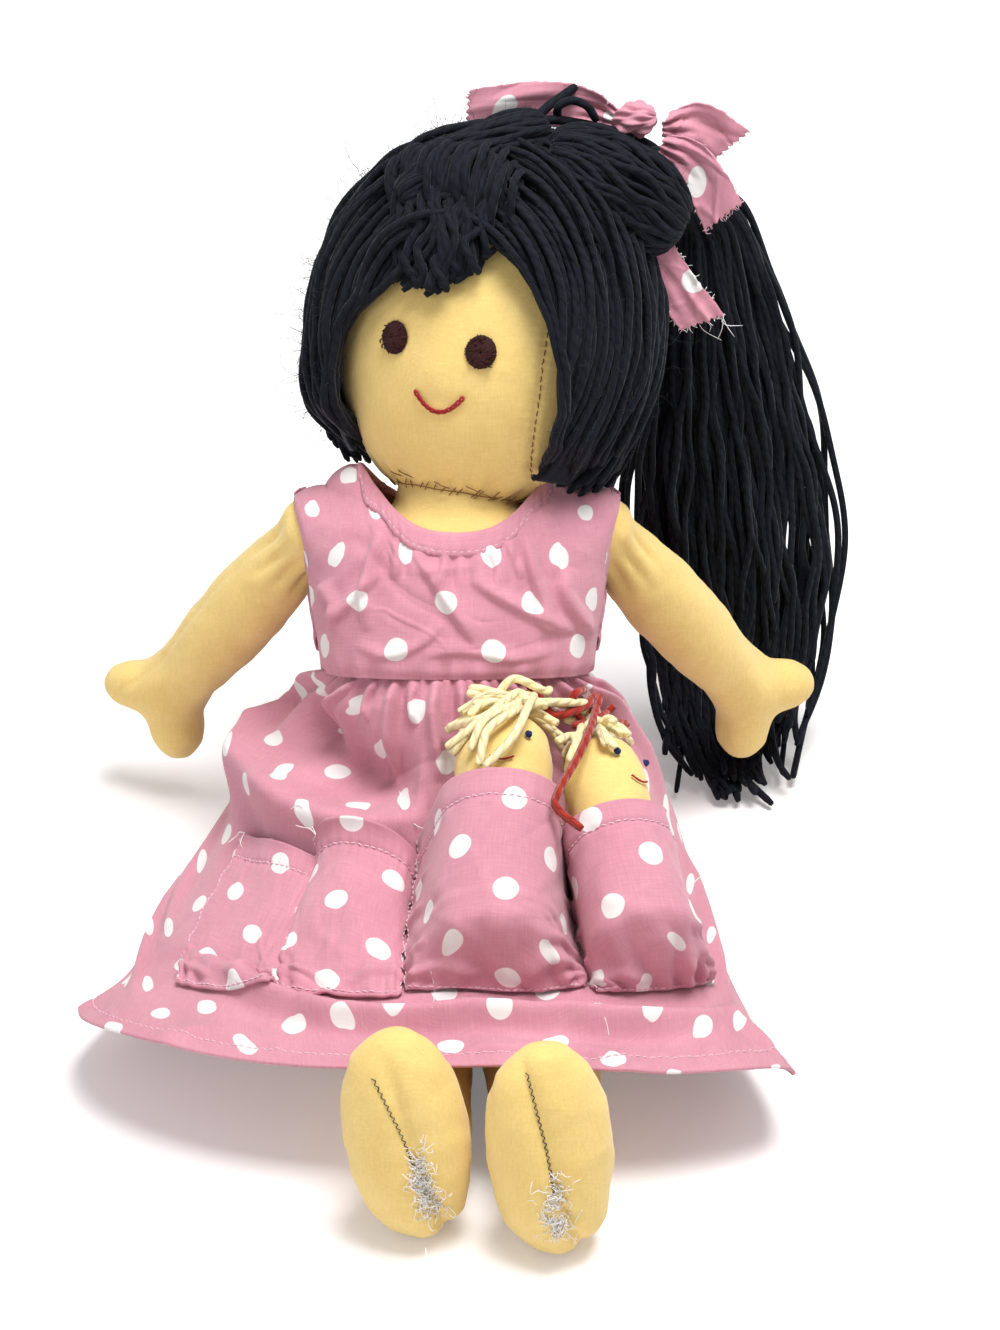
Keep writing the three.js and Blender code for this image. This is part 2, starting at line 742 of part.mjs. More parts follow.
// A mop of yarn ends on a baby's crown, each strand bent over the head.
function mop(baby) {
  const crown = baby.length + CLEAR;
  const parts = [ellipsoid(7, 7, 3, vec(0, 0, crown + 1.5), 10, 6)];
  for (let i = 0; i < baby.strands; i++) {
    const angle = (2 * Math.PI * (i + 0.3)) / baby.strands;
    const crowded = Math.sin(angle) * baby.neighbour > 0.85;
    if (crowded || Math.cos(angle) < -0.6) continue;
    const reach = baby.radius + CLEAR + YARN / 2 + 1 + 2 * (i % 3);
    const drop = crown - 5 - 3 * ((i * 2) % 3);
    const out = (share) => vec(Math.sin(angle) * reach * share, -Math.cos(angle) * reach * share, 0);
    const path = new THREE.CatmullRomCurve3([
      out(0.12).setZ(crown + 1.2),
      out(0.5).setZ(crown + 1.8),
      out(0.85).setZ(crown - 1),
      out(1).setZ(drop),
    ]);
    const side = vec(Math.cos(angle), Math.sin(angle), 0);
    const sections = [0, 0.4, 0.7, 1].map((share) => [share, YARN / 2, YARN / 2]);
    parts.push(stuffedTube(path, sections, 4, side));
  }
  const others = babies.filter((other) => other !== baby);
  const neighbours = others.map((other) => moved(overHead(other), other.frame, baby.frame));
  const dress = moved(torsoForm(2 * CLEAR + CLOTH, 0, torsoTop), upper, baby.frame);
  const skirt = moved(frontSkirtSheet(2 * CLEAR), lap, baby.frame);
  return largestPiece(carved(joined(...parts), overHead(baby), dress, skirt, ...neighbours));
}

// A baby with its clearance, which the hair sits over.
function overHead(baby) {
  const rings = babyProfile.map(([share, size]) => {
    const radius = baby.radius * size + CLEAR;
    return bodyRing(radius, radius, share * baby.length + CLEAR * (share > 0.5 ? 1 : -1), 16);
  });
  return loft(rings);
}

// Pockets: four patches in a row on the lap, stitched down at the sides and the bottom

const POCKET_SLACK = 1; // spare room round a baby
const pockets = [
  { name: "pocket_1", from: -0.63, to: -0.36, top: [0.42, 0.42], bottom: 0.76, rise: 2 },
  { name: "pocket_2", from: -0.35, to: -0.11, top: [0.38, 0.38], bottom: 0.74, rise: 14 },
  { name: "pocket_3", from: -0.095, to: 0.3, top: [0.34, 0.38], bottom: 0.72, baby: babies[0] },
  { name: "pocket_4", from: 0.325, to: 0.73, top: [0.45, 0.56], bottom: 0.74, baby: babies[1] },
];

// A point of a patch where it lies flat on the lap, one cloth above it.
function onLap({ from, to, top, bottom }, across, down) {
  const upper = top[0] + (top[1] - top[0]) * across;
  const turn = from + (to - from) * across;
  const share = upper + (bottom - upper) * down;
  const normal = surfaceNormal(frontSkirt, turn, share);
  if (normal.z < 0) normal.negate();
  return frontSkirt(turn, share).addScaledVector(normal, CLOTH + CLEAR);
}

// An empty pocket sags open along its top edge.
function emptyPocket(pocket) {
  const surface = (u, v) => {
    const across = (1 - Math.cos(Math.PI * u)) / 2;
    const outward = surfaceNormal(frontSkirt, (pocket.from + pocket.to) / 2, pocket.bottom);
    if (outward.z < 0) outward.negate();
    const rise = pocket.rise * (1 - v) ** 0.8 * Math.sin(Math.PI * u);
    return onLap(pocket, across, v).addScaledVector(outward, rise);
  };
  return sheet(surface, 8, 6, CLOTH);
}

// A filled pocket goes straight up from its side seams, round the baby and down again.
function filledPocket(pocket) {
  const { baby } = pocket;
  const inBaby = (across, down) => baby.frame.worldToLocal(onLap(pocket, across, down));
  const lowest = inBaby(0.5, 1);
  const surface = (u, v) => {
    const down = 1 - (1 - v) ** 1.4;
    const left = inBaby(0, down);
    const right = inBaby(1, down);
    const z = (left.z + right.z) / 2;
    const short = Math.min(1, Math.max(0, -z / (0.5 - lowest.z)));
    const fall = Math.sqrt(1 - short ** 2);
    const radius = Math.max(0.5, (baby.radius + CLEAR + POCKET_SLACK + CLOTH / 2) * fall);
    const middle = vec(0, 0, 0).lerp(left.clone().lerp(right, 0.5), 1 - fall);
    const tangent = (point, turn) => {
      const away = Math.hypot(point.x - middle.x, point.y - middle.y);
      const bearing = Math.atan2(middle.y - point.y, point.x - middle.x);
      return bearing + turn * Math.acos(Math.min(1, radius / away));
    };
    let first = tangent(left, -1);
    if (first < 0) first += 2 * Math.PI;
    const last = tangent(right, 1);
    const onArc = (angle) =>
      vec(middle.x + radius * Math.cos(angle), middle.y - radius * Math.sin(angle), 0);
    let point;
    if (u < 0.25) point = left.clone().lerp(onArc(first), u / 0.25);
    else if (u > 0.75) point = right.clone().lerp(onArc(last), (1 - u) / 0.25);
    else point = onArc(first + ((last - first) * (u - 0.25)) / 0.5);
    point.z = left.z + (right.z - left.z) * u;
    return baby.frame.localToWorld(point);
  };
  return sheet(surface, 12, 8, CLOTH);
}

// Head and wig

const headMiddle = vec(0, 0, HEAD_CENTRE);
const headForm = (margin, sides = 22, rows = 13) =>
  ellipsoid(
    HEAD_HALF_WIDTH + margin,
    HEAD_HALF_DEPTH + margin,
    HEAD_HALF_HEIGHT + margin,
    headMiddle,
    sides,
    rows,
  );
const seamHeight = 3.5;
const headEnd = seamHeight + STITCH + CLEAR;
const seamRadius = Math.sqrt((NECK_RADIUS + CLEAR + STITCH + 0.1) ** 2 - seamHeight ** 2);
const neckSeam = (margin) =>
  new THREE.TorusGeometry(seamRadius, STITCH + margin, 6, 28).translate(0, 0, seamHeight);

function headGeometry() {
  const neck = ball(NECK_RADIUS + CLEAR + 0.2, vec(0, 0, 0), 24);
  return carved(headForm(0), neck, boxBetween(vec(-90, -90, -90), vec(90, 90, headEnd)));
}

// A point on the front of the head, a margin proud of it.
function onFace(x, z, margin) {
  const wide = x / (HEAD_HALF_WIDTH + margin);
  const high = (z - HEAD_CENTRE) / (HEAD_HALF_HEIGHT + margin);
  const deep = Math.sqrt(Math.max(0, 1 - wide ** 2 - high ** 2));
  return vec(x, -(HEAD_HALF_DEPTH + margin) * deep, z);
}

// An eye is a round patch of satin stitch that follows the head.
function eyeGeometry(side) {
  const centre = onFace((side * EYE_SPAN) / 2, EYE_HEIGHT, 0);
  const outward = centre.clone().sub(headMiddle).normalize();
  const rod = new THREE.CylinderGeometry(EYE_RADIUS, EYE_RADIUS, 20, 16);
  rod.applyQuaternion(new THREE.Quaternion().setFromUnitVectors(vec(0, 1, 0), outward));
  rod.translate(...centre);
  return carved(common(rod, headForm(CLEAR + EYE_THICK)), headForm(CLEAR));
}

const hairCore = (margin) => headForm(HAIR_THICK + margin, 32, 18);

// The wig's outer form, ridged from the crown to the ends as its locks are.
function wigForm() {
  const locks = 24;
  const rings = [];
  for (let r = 0; r <= 10; r++) {
    const fall = radians(4 + 17.2 * r);
    const ring = [];
    for (let s = 0; s < 2 * locks; s++) {
      const turn = (Math.PI * s) / locks;
      const ridge = (s % 2 ? 0 : HAIR_RIDGE) * Math.sin(fall);
      ring.push(
        vec(
          (HEAD_HALF_WIDTH + HAIR_THICK - ridge) * Math.sin(fall) * Math.cos(turn),
          (HEAD_HALF_DEPTH + HAIR_THICK - ridge) * Math.sin(fall) * Math.sin(turn),
          HEAD_CENTRE + (HEAD_HALF_HEIGHT + HAIR_THICK) * Math.cos(fall),
        ),
      );
    }
    rings.push(ring);
  }
  return loft(rings);
}

// The opening in front of the face, with a rounded top.
function faceOpening() {
  const outline = new THREE.Shape();
  const w = FACE_OPENING_HALF_WIDTH;
  outline.moveTo(-w + 6, -30);
  outline.lineTo(w - 6, -30);
  outline.lineTo(w, 30);
  outline.bezierCurveTo(w + 1, 60, 22, FACE_OPENING_TOP - 2, 6, FACE_OPENING_TOP);
  outline.bezierCurveTo(-22, FACE_OPENING_TOP - 2, -w - 1, 60, -w, 30);
  const opening = new THREE.ExtrudeGeometry(outline, {
    depth: 80,
    bevelEnabled: false,
    curveSegments: 6,
  });
  return opening.rotateX(Math.PI / 2);
}

const WIG_BACK = 14; // where the side locks give way to the back ones
const WIG_END = 17; // how high the lock ends stand above the neck's centre

function wigPart(low, high) {
  const shell = carved(wigForm(), headForm(CLEAR), faceOpening());
  return largestPiece(common(shell, boxBetween(low, high)));
}
const partingHalf = PARTING_GAP / 2;
const wigParts = {
  hair_right: [vec(-90, -90, WIG_END), vec(-partingHalf, WIG_BACK - partingHalf, 160)],
  hair_left: [vec(partingHalf, -90, WIG_END), vec(90, WIG_BACK - partingHalf, 160)],
  hair_back: [vec(-90, WIG_BACK + partingHalf, WIG_END - 4), vec(90, 90, 160)],
};

// A bundle of yarn with ridges along it, between two points, fattest in the middle.
function bundle(from, to, wide, deep, ridges, rows = 8) {
  const axis = to.clone().sub(from);
  const turn = new THREE.Quaternion().setFromUnitVectors(vec(0, 0, 1), axis.clone().normalize());
  const rings = [];
  for (let r = 0; r <= rows; r++) {
    const share = 0.03 + (0.94 * r) / rows;
    const swell = Math.sqrt(Math.sin(Math.PI * share));
    const ring = [];
    for (let s = 0; s < 2 * ridges; s++) {
      const angle = (Math.PI * s) / ridges;
      const proud = s % 2 ? 1 : 0.9;
      const point = vec(
        wide * swell * proud * Math.cos(angle),
        deep * swell * proud * Math.sin(angle),
        axis.length() * share,
      );
      ring.push(point.applyQuaternion(turn).add(from));
    }
    rings.push(ring);
  }
  return loft(rings);
}

// The roll runs back from the fringe, and the puff fans out beside it to the tie.
const rollForm = (margin) =>
  bundle(vec(-22, -45, 97), vec(22, -4, 146), ROLL_RADIUS + margin, ROLL_RADIUS + margin, 8);
const puffForm = (margin) =>
  bundle(vec(18, -14, 120), vec(60, 10, 104), PUFF_RADIUS + margin, PUFF_RADIUS - 3 + margin, 11);
const rollGeometry = () => largestPiece(carved(rollForm(0), hairCore(CLEAR)));
const puffGeometry = () =>
  largestPiece(carved(puffForm(0), hairCore(CLEAR + 0.4), rollForm(0.6), tieForm(CLEAR)));

// Short curled yarn ends over the forehead.
function fringeGeometry() {
  const parts = [];
  const curls = 7;
  for (let i = 0; i < curls; i++) {
    const spread = i / (curls - 1) - 0.5;
    const x = 26 * spread - 3;
    const length = 30 - 46 * spread ** 2 - 5 * (i % 2);
    const points = [0, 0.35, 0.7, 1].map((share) =>
      onFace(x * (0.75 + 0.3 * share), 96 - length * share, CLEAR + 3.6 + 2.2 * (1 - share) * share),
    );
    const path = new THREE.CatmullRomCurve3(points);
    const thick = [3, 3.4, 3.2, 2].map((t, k) => [k / 3, t + 0.8, t]);
    parts.push(stuffedTube(path, thick, 7, vec(1, 0, 0)));
  }
  return largestPiece(carved(joined(...parts), wigSolid(), headForm(CLEAR)));
}
const wigSolid = () => carved(headForm(HAIR_THICK + 0.3, 32, 18), headForm(CLEAR), faceOpening());

// Ponytail, its tie and the ribbon

const tieCentre = vec(50, 24, 122);
const tieAxis = vec(0.62, 0.5, 0.5).normalize();
const tieTurn = new THREE.Quaternion().setFromUnitVectors(vec(0, 0, 1), tieAxis);

const tieForm = (margin) =>
  new THREE.TorusGeometry(TIE_RADIUS, 2 + margin, 8, 20)
    .applyQuaternion(tieTurn)
    .translate(...tieCentre);

const tailPoints = () => [
  headFrame.localToWorld(tieCentre.clone().addScaledVector(tieAxis, -24)),
  headFrame.localToWorld(tieCentre.clone()),
  vec(88, 132, 212),
  vec(93, 131, 180),
  vec(99, 128, 130),
  vec(104, 122, 85),
  vec(107, 113, 45),
  vec(106, 98, 19),
  vec(106, 80, 7.5),
  vec(108, 62, 5.5),
];

// The ponytail hangs from its tie down behind the left arm, in long ridged locks.
function tailGeometry() {
  const path = new THREE.CatmullRomCurve3(tailPoints(), false, "centripetal");
  const sections = [
    [0, 4.5, 4.5],
    [0.055, TIE_RADIUS - 4, TIE_RADIUS - 4],
    [0.1, TIE_RADIUS - 4, TIE_RADIUS - 4],
    [0.14, 10, 8],
    [0.22, 17, 10],
    [0.31, 25, 12],
    [0.43, 34, 13],
    [0.57, 40, 13],
    [0.7, 40, 12],
    [0.8, 36, 8],
    [0.9, 29, 5],
    [1, 20, 3],
  ];
  const rings = sections.map(([share, wide, deep], k) => {
    const centre = path.getPointAt(share);
    const along = path.getTangentAt(share);
    const across = vec(1, 0.12, 0);
    across.addScaledVector(along, -across.dot(along)).normalize();
    const up = along.clone().cross(across);
    const ring = [];
    for (let s = 0; s < 4 * TAIL_LOCKS; s++) {
      const angle = (Math.PI * s) / (2 * TAIL_LOCKS);
      const proud = s % 2 || k < 3 ? 1 : 0.88;
      const point = centre.clone().addScaledVector(across, wide * proud * Math.cos(angle));
      ring.push(point.addScaledVector(up, deep * proud * Math.sin(angle)));
    }
    return ring;
  });
  const arm = moved(armForm(1, 2), upper, doll);
  const tie = moved(tieForm(CLEAR), headFrame, doll);
  const wig = moved(hairCore(CLEAR + 0.3), headFrame, doll);
  const above = boxBetween(vec(-200, -300, 1.5), vec(250, 300, 400));
  const puff = moved(puffForm(2), headFrame, doll);
  return largestPiece(carved(common(loft(rings), above), arm, wig, tie, puff));
}

// A folded ribbon along a path in the head's frame.
function ribbonGeometry(points, width, upright) {
  const path = curveThrough(...points);
  const surface = (u, v) => {
    const along = path.getTangent(v);
    const across = upright.clone().addScaledVector(along, -upright.dot(along)).normalize();
    return path.getPoint(v).addScaledVector(across, width * (u - 0.5));
  };
  return sheet(surface, 2, 8, RIBBON_CLOTH);
}
const RIBBON_WIDTH = 15;
const knotCentre = vec(42, 18, 137.5);
const ribbonPaths = {
  ribbon_loop_right: [
    [32, 14, 139],
    [20, 13, 141],
    [2, 8, 139],
    [-20, 6, 133],
  ],
  ribbon_loop_left: [
    [47, 20, 138],
    [59, 25, 141],
    [70, 30, 136],
  ],
  ribbon_tail_upper: [
    [50, 12, 131],
    [60, 12, 128],
    [68, 14, 120],
    [74, 18, 110],
  ],
  ribbon_tail_lower: [
    [60, 6, 100],
    [66, 12, 92],
    [75, 18, 82],
  ],
};

// Arms

// An arm narrows to its sewn shoulder, swells, and ends in a mitten of two lobes.
function armForm(side, margin) {
  const start = shoulder(side);
  const out = Math.sin(radians(ARM_SPLAY));
  const down = Math.cos(radians(ARM_SPLAY));
  const back = radians(ARM_BACK);
  const along = vec(side * out, down * Math.sin(back), -down * Math.cos(back));
  const across = along.clone().cross(vec(0, 1, 0)).normalize().multiplyScalar(side);
  const hand = start.clone().addScaledVector(along, ARM_REACH);
  const path = new THREE.LineCurve3(start, hand);
  const near = (SHOULDER_BALL * 0.55) / ARM_REACH;
  const tube = stuffedTube(
    path,
    [
      [near, 12 + margin, 12 + margin],
      [0.14, 12.5 + margin, 12.5 + margin],
      [0.24, 14 + margin, 14 + margin],
      [0.38, ARM_RADIUS + margin, ARM_RADIUS - 0.5 + margin],
      [0.6, ARM_RADIUS - 0.6 + margin, ARM_RADIUS - 1 + margin],
      [0.8, WRIST_RADIUS + margin, WRIST_RADIUS + margin],
      [0.92, HAND_HALF_WIDTH - 3 + margin, HAND_HALF_DEPTH + margin],
      [1, HAND_HALF_WIDTH - 6 + margin, HAND_HALF_DEPTH - 3 + margin],
    ],
    14,
    across,
  );
  const lobe = (forward, aside, radius, length) => {
    const centre = hand.clone().addScaledVector(along, forward).addScaledVector(across, aside);
    const deep = HAND_HALF_DEPTH - 2 + margin;
    const form = ellipsoid(radius + margin, deep, length + margin, vec(0, 0, 0), 12, 8);
    const aim = along.clone().multiplyScalar(forward + 12).addScaledVector(across, aside).normalize();
    form.applyQuaternion(new THREE.Quaternion().setFromUnitVectors(vec(0, 0, 1), aim));
    return form.translate(centre.x, centre.y, centre.z);
  };
  return joined(
    tube,
    lobe(-2, 9, THUMB_RADIUS + 1.5, 17),
    lobe(0, -9.5, THUMB_RADIUS + 2.5, 16),
  );
}

function armGeometry(side) {
  const seat = ball(SHOULDER_BALL + CLEAR + 0.25, shoulder(side));
  const reach = CHEST_HALF_WIDTH + CLEAR;
  const body = boxBetween(vec(-reach, -80, 0), vec(reach, 80, 200));
  return largestPiece(carved(armForm(side, 0), seat, body));
}

// Assembly

place(upper, "torso", torsoGeometry(), skinCotton());
place(upper, "bodice_front", bodiceGeometry(true), pinkCotton());
place(upper, "bodice_back", bodiceGeometry(false), pinkCotton());

const legForms = [-1, 1].map((side) => legForm(side, 2 * CLEAR));
place(lap, "skirt_front", clearOfBody(skirtGeometry(true), legForms), pinkCotton());
place(lap, "skirt_back", clearOfBody(skirtGeometry(false), legForms), pinkCotton());
for (const pocket of pockets) {
  place(lap, pocket.name, pocket.baby ? filledPocket(pocket) : emptyPocket(pocket), pinkCotton());
}

place(lap, "leg_right", legGeometry(-1), skinCotton());
place(lap, "leg_left", legGeometry(1), skinCotton());

for (const baby of babies) {
  const { frame, name, radius, length } = baby;
  const onHead = (across, rise) => {
    const height = length * 0.75 + rise;
    const reach = babyRadiusAt(baby, height) + CLEAR + 0.5;
    const angle = radians(baby.face) + across / reach;
    return vec(reach * Math.sin(angle), -reach * Math.cos(angle), height);
  };
  place(frame, name, babyForm(baby), skinCotton());
  for (const side of [-1, 1]) {
    const eye = babyDot(baby, side * radius * 0.5, length * 0.85, BABY_EYE_RADIUS);
    place(frame, name + (side < 0 ? "_eye_right" : "_eye_left"), eye, blueThread());
  }
  place(frame, name + "_mouth", smile(4, 1.5, 0.45, onHead), redThread());
  place(frame, name + "_hair", mop(baby), name === "baby_1" ? creamYarn() : redYarn());
}

place(headFrame, "head", headGeometry(), skinCotton());
place(headFrame, "neck_seam", neckSeam(0), brownThread());
place(headFrame, "eye_right", eyeGeometry(-1), feltBrown());
place(headFrame, "eye_left", eyeGeometry(1), feltBrown());
const onMouth = (across, rise) => onFace(across + 1.5, MOUTH_HEIGHT + rise, CLEAR + 0.9);
place(headFrame, "mouth", smile(MOUTH_HALF_WIDTH, MOUTH_SAG, 0.8, onMouth), redThread());
for (const [name, [low, high]] of Object.entries(wigParts)) {
  place(headFrame, name, wigPart(low, high), darkYarn());
}
place(headFrame, "front_roll", rollGeometry(), darkYarn());
place(headFrame, "side_puff", puffGeometry(), darkYarn());
place(headFrame, "fringe", fringeGeometry(), darkYarn());
place(headFrame, "hair_tie", tieForm(0), darkYarn());
place(doll, "ponytail", tailGeometry(), darkYarn());

const knotForm = (margin) =>
  ellipsoid(9 + margin, 7 + margin, 8 + margin, knotCentre, 12, 8);
place(headFrame, "ribbon_knot", carved(knotForm(0), tieForm(CLEAR)), pinkCotton());
for (const [name, points] of Object.entries(ribbonPaths)) {
  const band = ribbonGeometry(points, RIBBON_WIDTH, vec(0, -0.3, 1));
  const clear = carved(band, knotForm(CLEAR), tieForm(CLEAR), hairCore(CLEAR));
  place(headFrame, name, largestPiece(clear), pinkCotton());
}

for (const side of [-1, 1]) {
  const name = side < 0 ? "right" : "left";
  place(upper, "arm_" + name, armGeometry(side), skinCotton());
}

export default doll;
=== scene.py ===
import json
import math

import bmesh
import bpy
import numpy as np
from mathutils import Matrix, Vector, noise
from mathutils.bvhtree import BVHTree

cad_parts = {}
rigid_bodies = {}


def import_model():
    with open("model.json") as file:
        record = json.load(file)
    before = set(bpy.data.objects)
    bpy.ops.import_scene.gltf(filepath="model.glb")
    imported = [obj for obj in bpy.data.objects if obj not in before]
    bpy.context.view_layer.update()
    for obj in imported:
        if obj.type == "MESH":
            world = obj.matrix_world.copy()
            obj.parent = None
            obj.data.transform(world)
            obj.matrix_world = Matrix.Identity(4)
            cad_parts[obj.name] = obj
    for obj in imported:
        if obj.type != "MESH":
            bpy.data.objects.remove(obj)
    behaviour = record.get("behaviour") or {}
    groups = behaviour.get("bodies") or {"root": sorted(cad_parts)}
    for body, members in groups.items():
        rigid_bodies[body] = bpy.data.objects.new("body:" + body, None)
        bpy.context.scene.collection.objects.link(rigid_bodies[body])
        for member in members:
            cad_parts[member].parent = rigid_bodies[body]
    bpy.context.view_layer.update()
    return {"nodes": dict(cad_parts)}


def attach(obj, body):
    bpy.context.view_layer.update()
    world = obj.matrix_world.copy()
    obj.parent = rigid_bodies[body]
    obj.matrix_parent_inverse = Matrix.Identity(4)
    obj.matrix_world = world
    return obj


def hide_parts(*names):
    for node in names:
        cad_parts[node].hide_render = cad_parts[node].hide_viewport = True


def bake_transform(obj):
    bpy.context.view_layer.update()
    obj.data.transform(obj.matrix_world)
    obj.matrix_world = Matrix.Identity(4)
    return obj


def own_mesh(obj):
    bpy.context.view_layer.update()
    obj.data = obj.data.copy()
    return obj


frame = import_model()

# Shapes are worked out in millimetres, and MM turns them into metres
MM = 0.001

# Camera: as the photograph, looking down at 32 degrees
PITCH = math.radians(32)
TARGET = np.array([15.0, 31.0, 85.0])
DISTANCE = 1150.0
SENSOR = 36
PHOTO_HEIGHT = 1330
# The photograph's scale at the target
PIXELS_PER_MM = 2.83
forward = np.array([0, math.cos(PITCH), -math.sin(PITCH)])
eye_point = TARGET - forward * DISTANCE

camera = bpy.data.objects.new("camera", bpy.data.cameras.new("camera"))
bpy.context.scene.collection.objects.link(camera)
camera.data.sensor_fit = "VERTICAL"
camera.data.sensor_height = SENSOR
camera.data.lens = SENSOR * PIXELS_PER_MM * DISTANCE / PHOTO_HEIGHT
camera.location = Vector(eye_point * MM)
camera.rotation_euler = (math.pi / 2 - PITCH, 0, 0)
camera.data.clip_start = 0.05
camera.data.clip_end = 30
bpy.context.scene.camera = camera

# The doll's driving sizes, in millimetres, as in its solids
CLEAR, CLOTH = 0.35, 1.2
SEAT_RADIUS = 36.5
HIP = SEAT_RADIUS - 0.5 + CLOTH + 2 * CLEAR
HEAD = np.array([51.0, 46.0, 62.0])
HEAD_MID = np.array([0.0, 0.0, 57.0])
NECK = 116.0
LEG_RADIUS = 21.0


def turn(degrees, axis):
    return np.array(Matrix.Rotation(math.radians(degrees), 4, axis))


def shift(x, y, z):
    return np.array(Matrix.Translation((x, y, z)))


UPPER = shift(0, 0, HIP) @ turn(-28, "X")
HEADF = UPPER @ shift(0, 0, NECK) @ turn(9, "Y") @ turn(-17, "Z")


def to(frame_matrix, points):
    p = np.asarray(points, float)
    return p @ frame_matrix[:3, :3].T + frame_matrix[:3, 3]


def back(frame_matrix, points):
    p = np.asarray(points, float) - frame_matrix[:3, 3]
    return p @ frame_matrix[:3, :3]


def unit(v):
    v = np.asarray(v, float)
    return v / np.maximum(np.linalg.norm(v, axis=-1, keepdims=True), 1e-9)


def all_to(frame_matrix, runs):
    return [to(frame_matrix, run) for run in runs]


def bell(distance, width):
    """1 in the middle and close to 0 from twice the width on."""
    return np.exp(-((distance / width) ** 2))


def ease(share):
    """A share from 0 to 1 that starts and ends softly."""
    return share * share * (3 - 2 * share)


def lengths(path):
    """How far along a path each of its points lies."""
    return np.concatenate([[0], np.cumsum(np.linalg.norm(np.diff(path, axis=0), axis=1))])


def along_line(want, place, points):
    """The points at the wanted lengths of a line whose own points lie at the lengths in place."""
    return np.stack([np.interp(want, place, points[:, k]) for k in range(3)], -1)


def grid(count_u, count_v):
    """Shares across and down a patch, as two tables."""
    return np.meshgrid(np.linspace(0, 1, count_u), np.linspace(0, 1, count_v))


# Mesh helpers


def mesh_object(name, points, faces, material, body=None, uvs=None):
    mesh = bpy.data.meshes.new(name)
    points = np.asarray(points, float) * MM
    if isinstance(faces, np.ndarray):
        mesh.vertices.add(len(points))
        mesh.vertices.foreach_set("co", points.astype(np.float32).ravel())
        mesh.loops.add(faces.size)
        mesh.loops.foreach_set("vertex_index", faces.astype(np.int32).ravel())
        mesh.polygons.add(len(faces))
        mesh.polygons.foreach_set(
            "loop_start", np.arange(0, faces.size, faces.shape[1], dtype=np.int32)
        )
        mesh.update(calc_edges=True)
    else:
        mesh.from_pydata(points.tolist(), [], [tuple(int(i) for i in f) for f in faces])
    if uvs is not None:
        layer = mesh.uv_layers.new(name="cloth")
        index = np.empty(len(mesh.loops), int)
        mesh.loops.foreach_get("vertex_index", index)
        flat = (np.asarray(uvs, float) * MM)[index].astype(np.float32)
        layer.data.foreach_set("uv", flat.ravel())
    mesh.polygons.foreach_set("use_smooth", [True] * len(mesh.polygons))
    mesh.materials.append(material)
    obj = bpy.data.objects.new(name, mesh)
    bpy.context.scene.collection.objects.link(obj)
    if body:
        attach(obj, body)
    return obj


def grid_faces(rows, columns, wrap=False):
    r, c = np.meshgrid(
        np.arange(rows - 1), np.arange(columns if wrap else columns - 1), indexing="ij"
    )
    a = r * columns + c
    b = r * columns + (c + 1) % columns
    return np.stack([a, b, b + columns, a + columns], -1).reshape(-1, 4).tolist()


def ball_grid(rows, columns, first, last):
    """Rings of points on a ball of radius 1, between two angles from its top."""
    angle = np.linspace(0, 2 * math.pi, columns, endpoint=False)
    a, f = np.meshgrid(angle, np.linspace(first, last, rows))
    return a, f, np.stack([np.sin(f) * np.cos(a), np.sin(f) * np.sin(a), np.cos(f)], -1)


def resample(path, step):
    """Points at even distances of about a step along a path."""
    path = np.asarray(path, float)
    place = lengths(path)
    count = max(2, int(round(place[-1] / step)) + 1)
    return along_line(np.linspace(0, place[-1], count), place, path)


def spline(points, n):
    """A smooth line through points, at n places."""
    p = np.asarray(points, float)
    p = np.vstack([2 * p[0] - p[1], p, 2 * p[-1] - p[-2]])
    out = []
    for t in np.linspace(0, len(p) - 3 - 1e-9, n):
        i = int(t)
        f = t - i
        a, b, c, d = p[i], p[i + 1], p[i + 2], p[i + 3]
        out.append(
            0.5 * (
                2 * b + (c - a) * f + (
                    2 * a - 5 * b + 4 * c - d
                ) * f**2 + (3 * b - a - 3 * c + d) * f**3
            )
        )
    return np.array(out)


def tubes(name, paths, radius, material, body=None, sides=6, taper=0.25):
    """Many strands as one mesh, with u round each strand and v along it."""
    points, faces, uvs = [], [], []
    base = 0
    for k, path in enumerate(paths):
        path = np.asarray(path, float)
        r = radius[k] if hasattr(radius, "__len__") else radius
        along = unit(np.gradient(path, axis=0))
        side = np.empty_like(path)
        seed = np.array([0.31, 0.52, 0.79])
        side[0] = unit(seed - along[0] * (seed @ along[0]))
        for i in range(1, len(path)):
            turned = side[i - 1] - along[i] * (side[i - 1] @ along[i])
            side[i] = turned / max(math.sqrt(turned @ turned), 1e-9)
        up = np.cross(along, side)
        gaps = lengths(path)
        size = r * np.minimum(1, taper + (1 - taper) * np.minimum(gaps, gaps[-1] - gaps) / r)
        # The first and the last ring close the ends
        ends = np.concatenate([[0], np.arange(len(path)), [len(path) - 1]])
        size = np.concatenate([[0.02 * size[0]], size, [0.02 * size[-1]]])
        path, side, up, gaps = path[ends], side[ends], up[ends], gaps[ends]
        n = len(path)
        angle = np.linspace(0, 2 * math.pi, sides, endpoint=False) + k
        c, s = np.cos(angle)[None, :, None], np.sin(angle)[None, :, None]
        ring = path[:, None] + (c * side[:, None] + s * up[:, None]) * size[:, None, None]
        points.append(ring.reshape(-1, 3))
        round_ = np.tile(np.arange(sides) / sides * 1000, n)
        uvs.append(np.stack([round_, np.repeat(gaps + 37.0 * (k % 97), sides)], 1))
        faces.append(quads(n, sides, True) + base)
        base += n * sides
    return mesh_object(
        name, np.vstack(points), np.vstack(faces), material, body, np.vstack(uvs)
    )


def quads(rows, columns, wrap=False):
    return np.array(grid_faces(rows, columns, wrap))


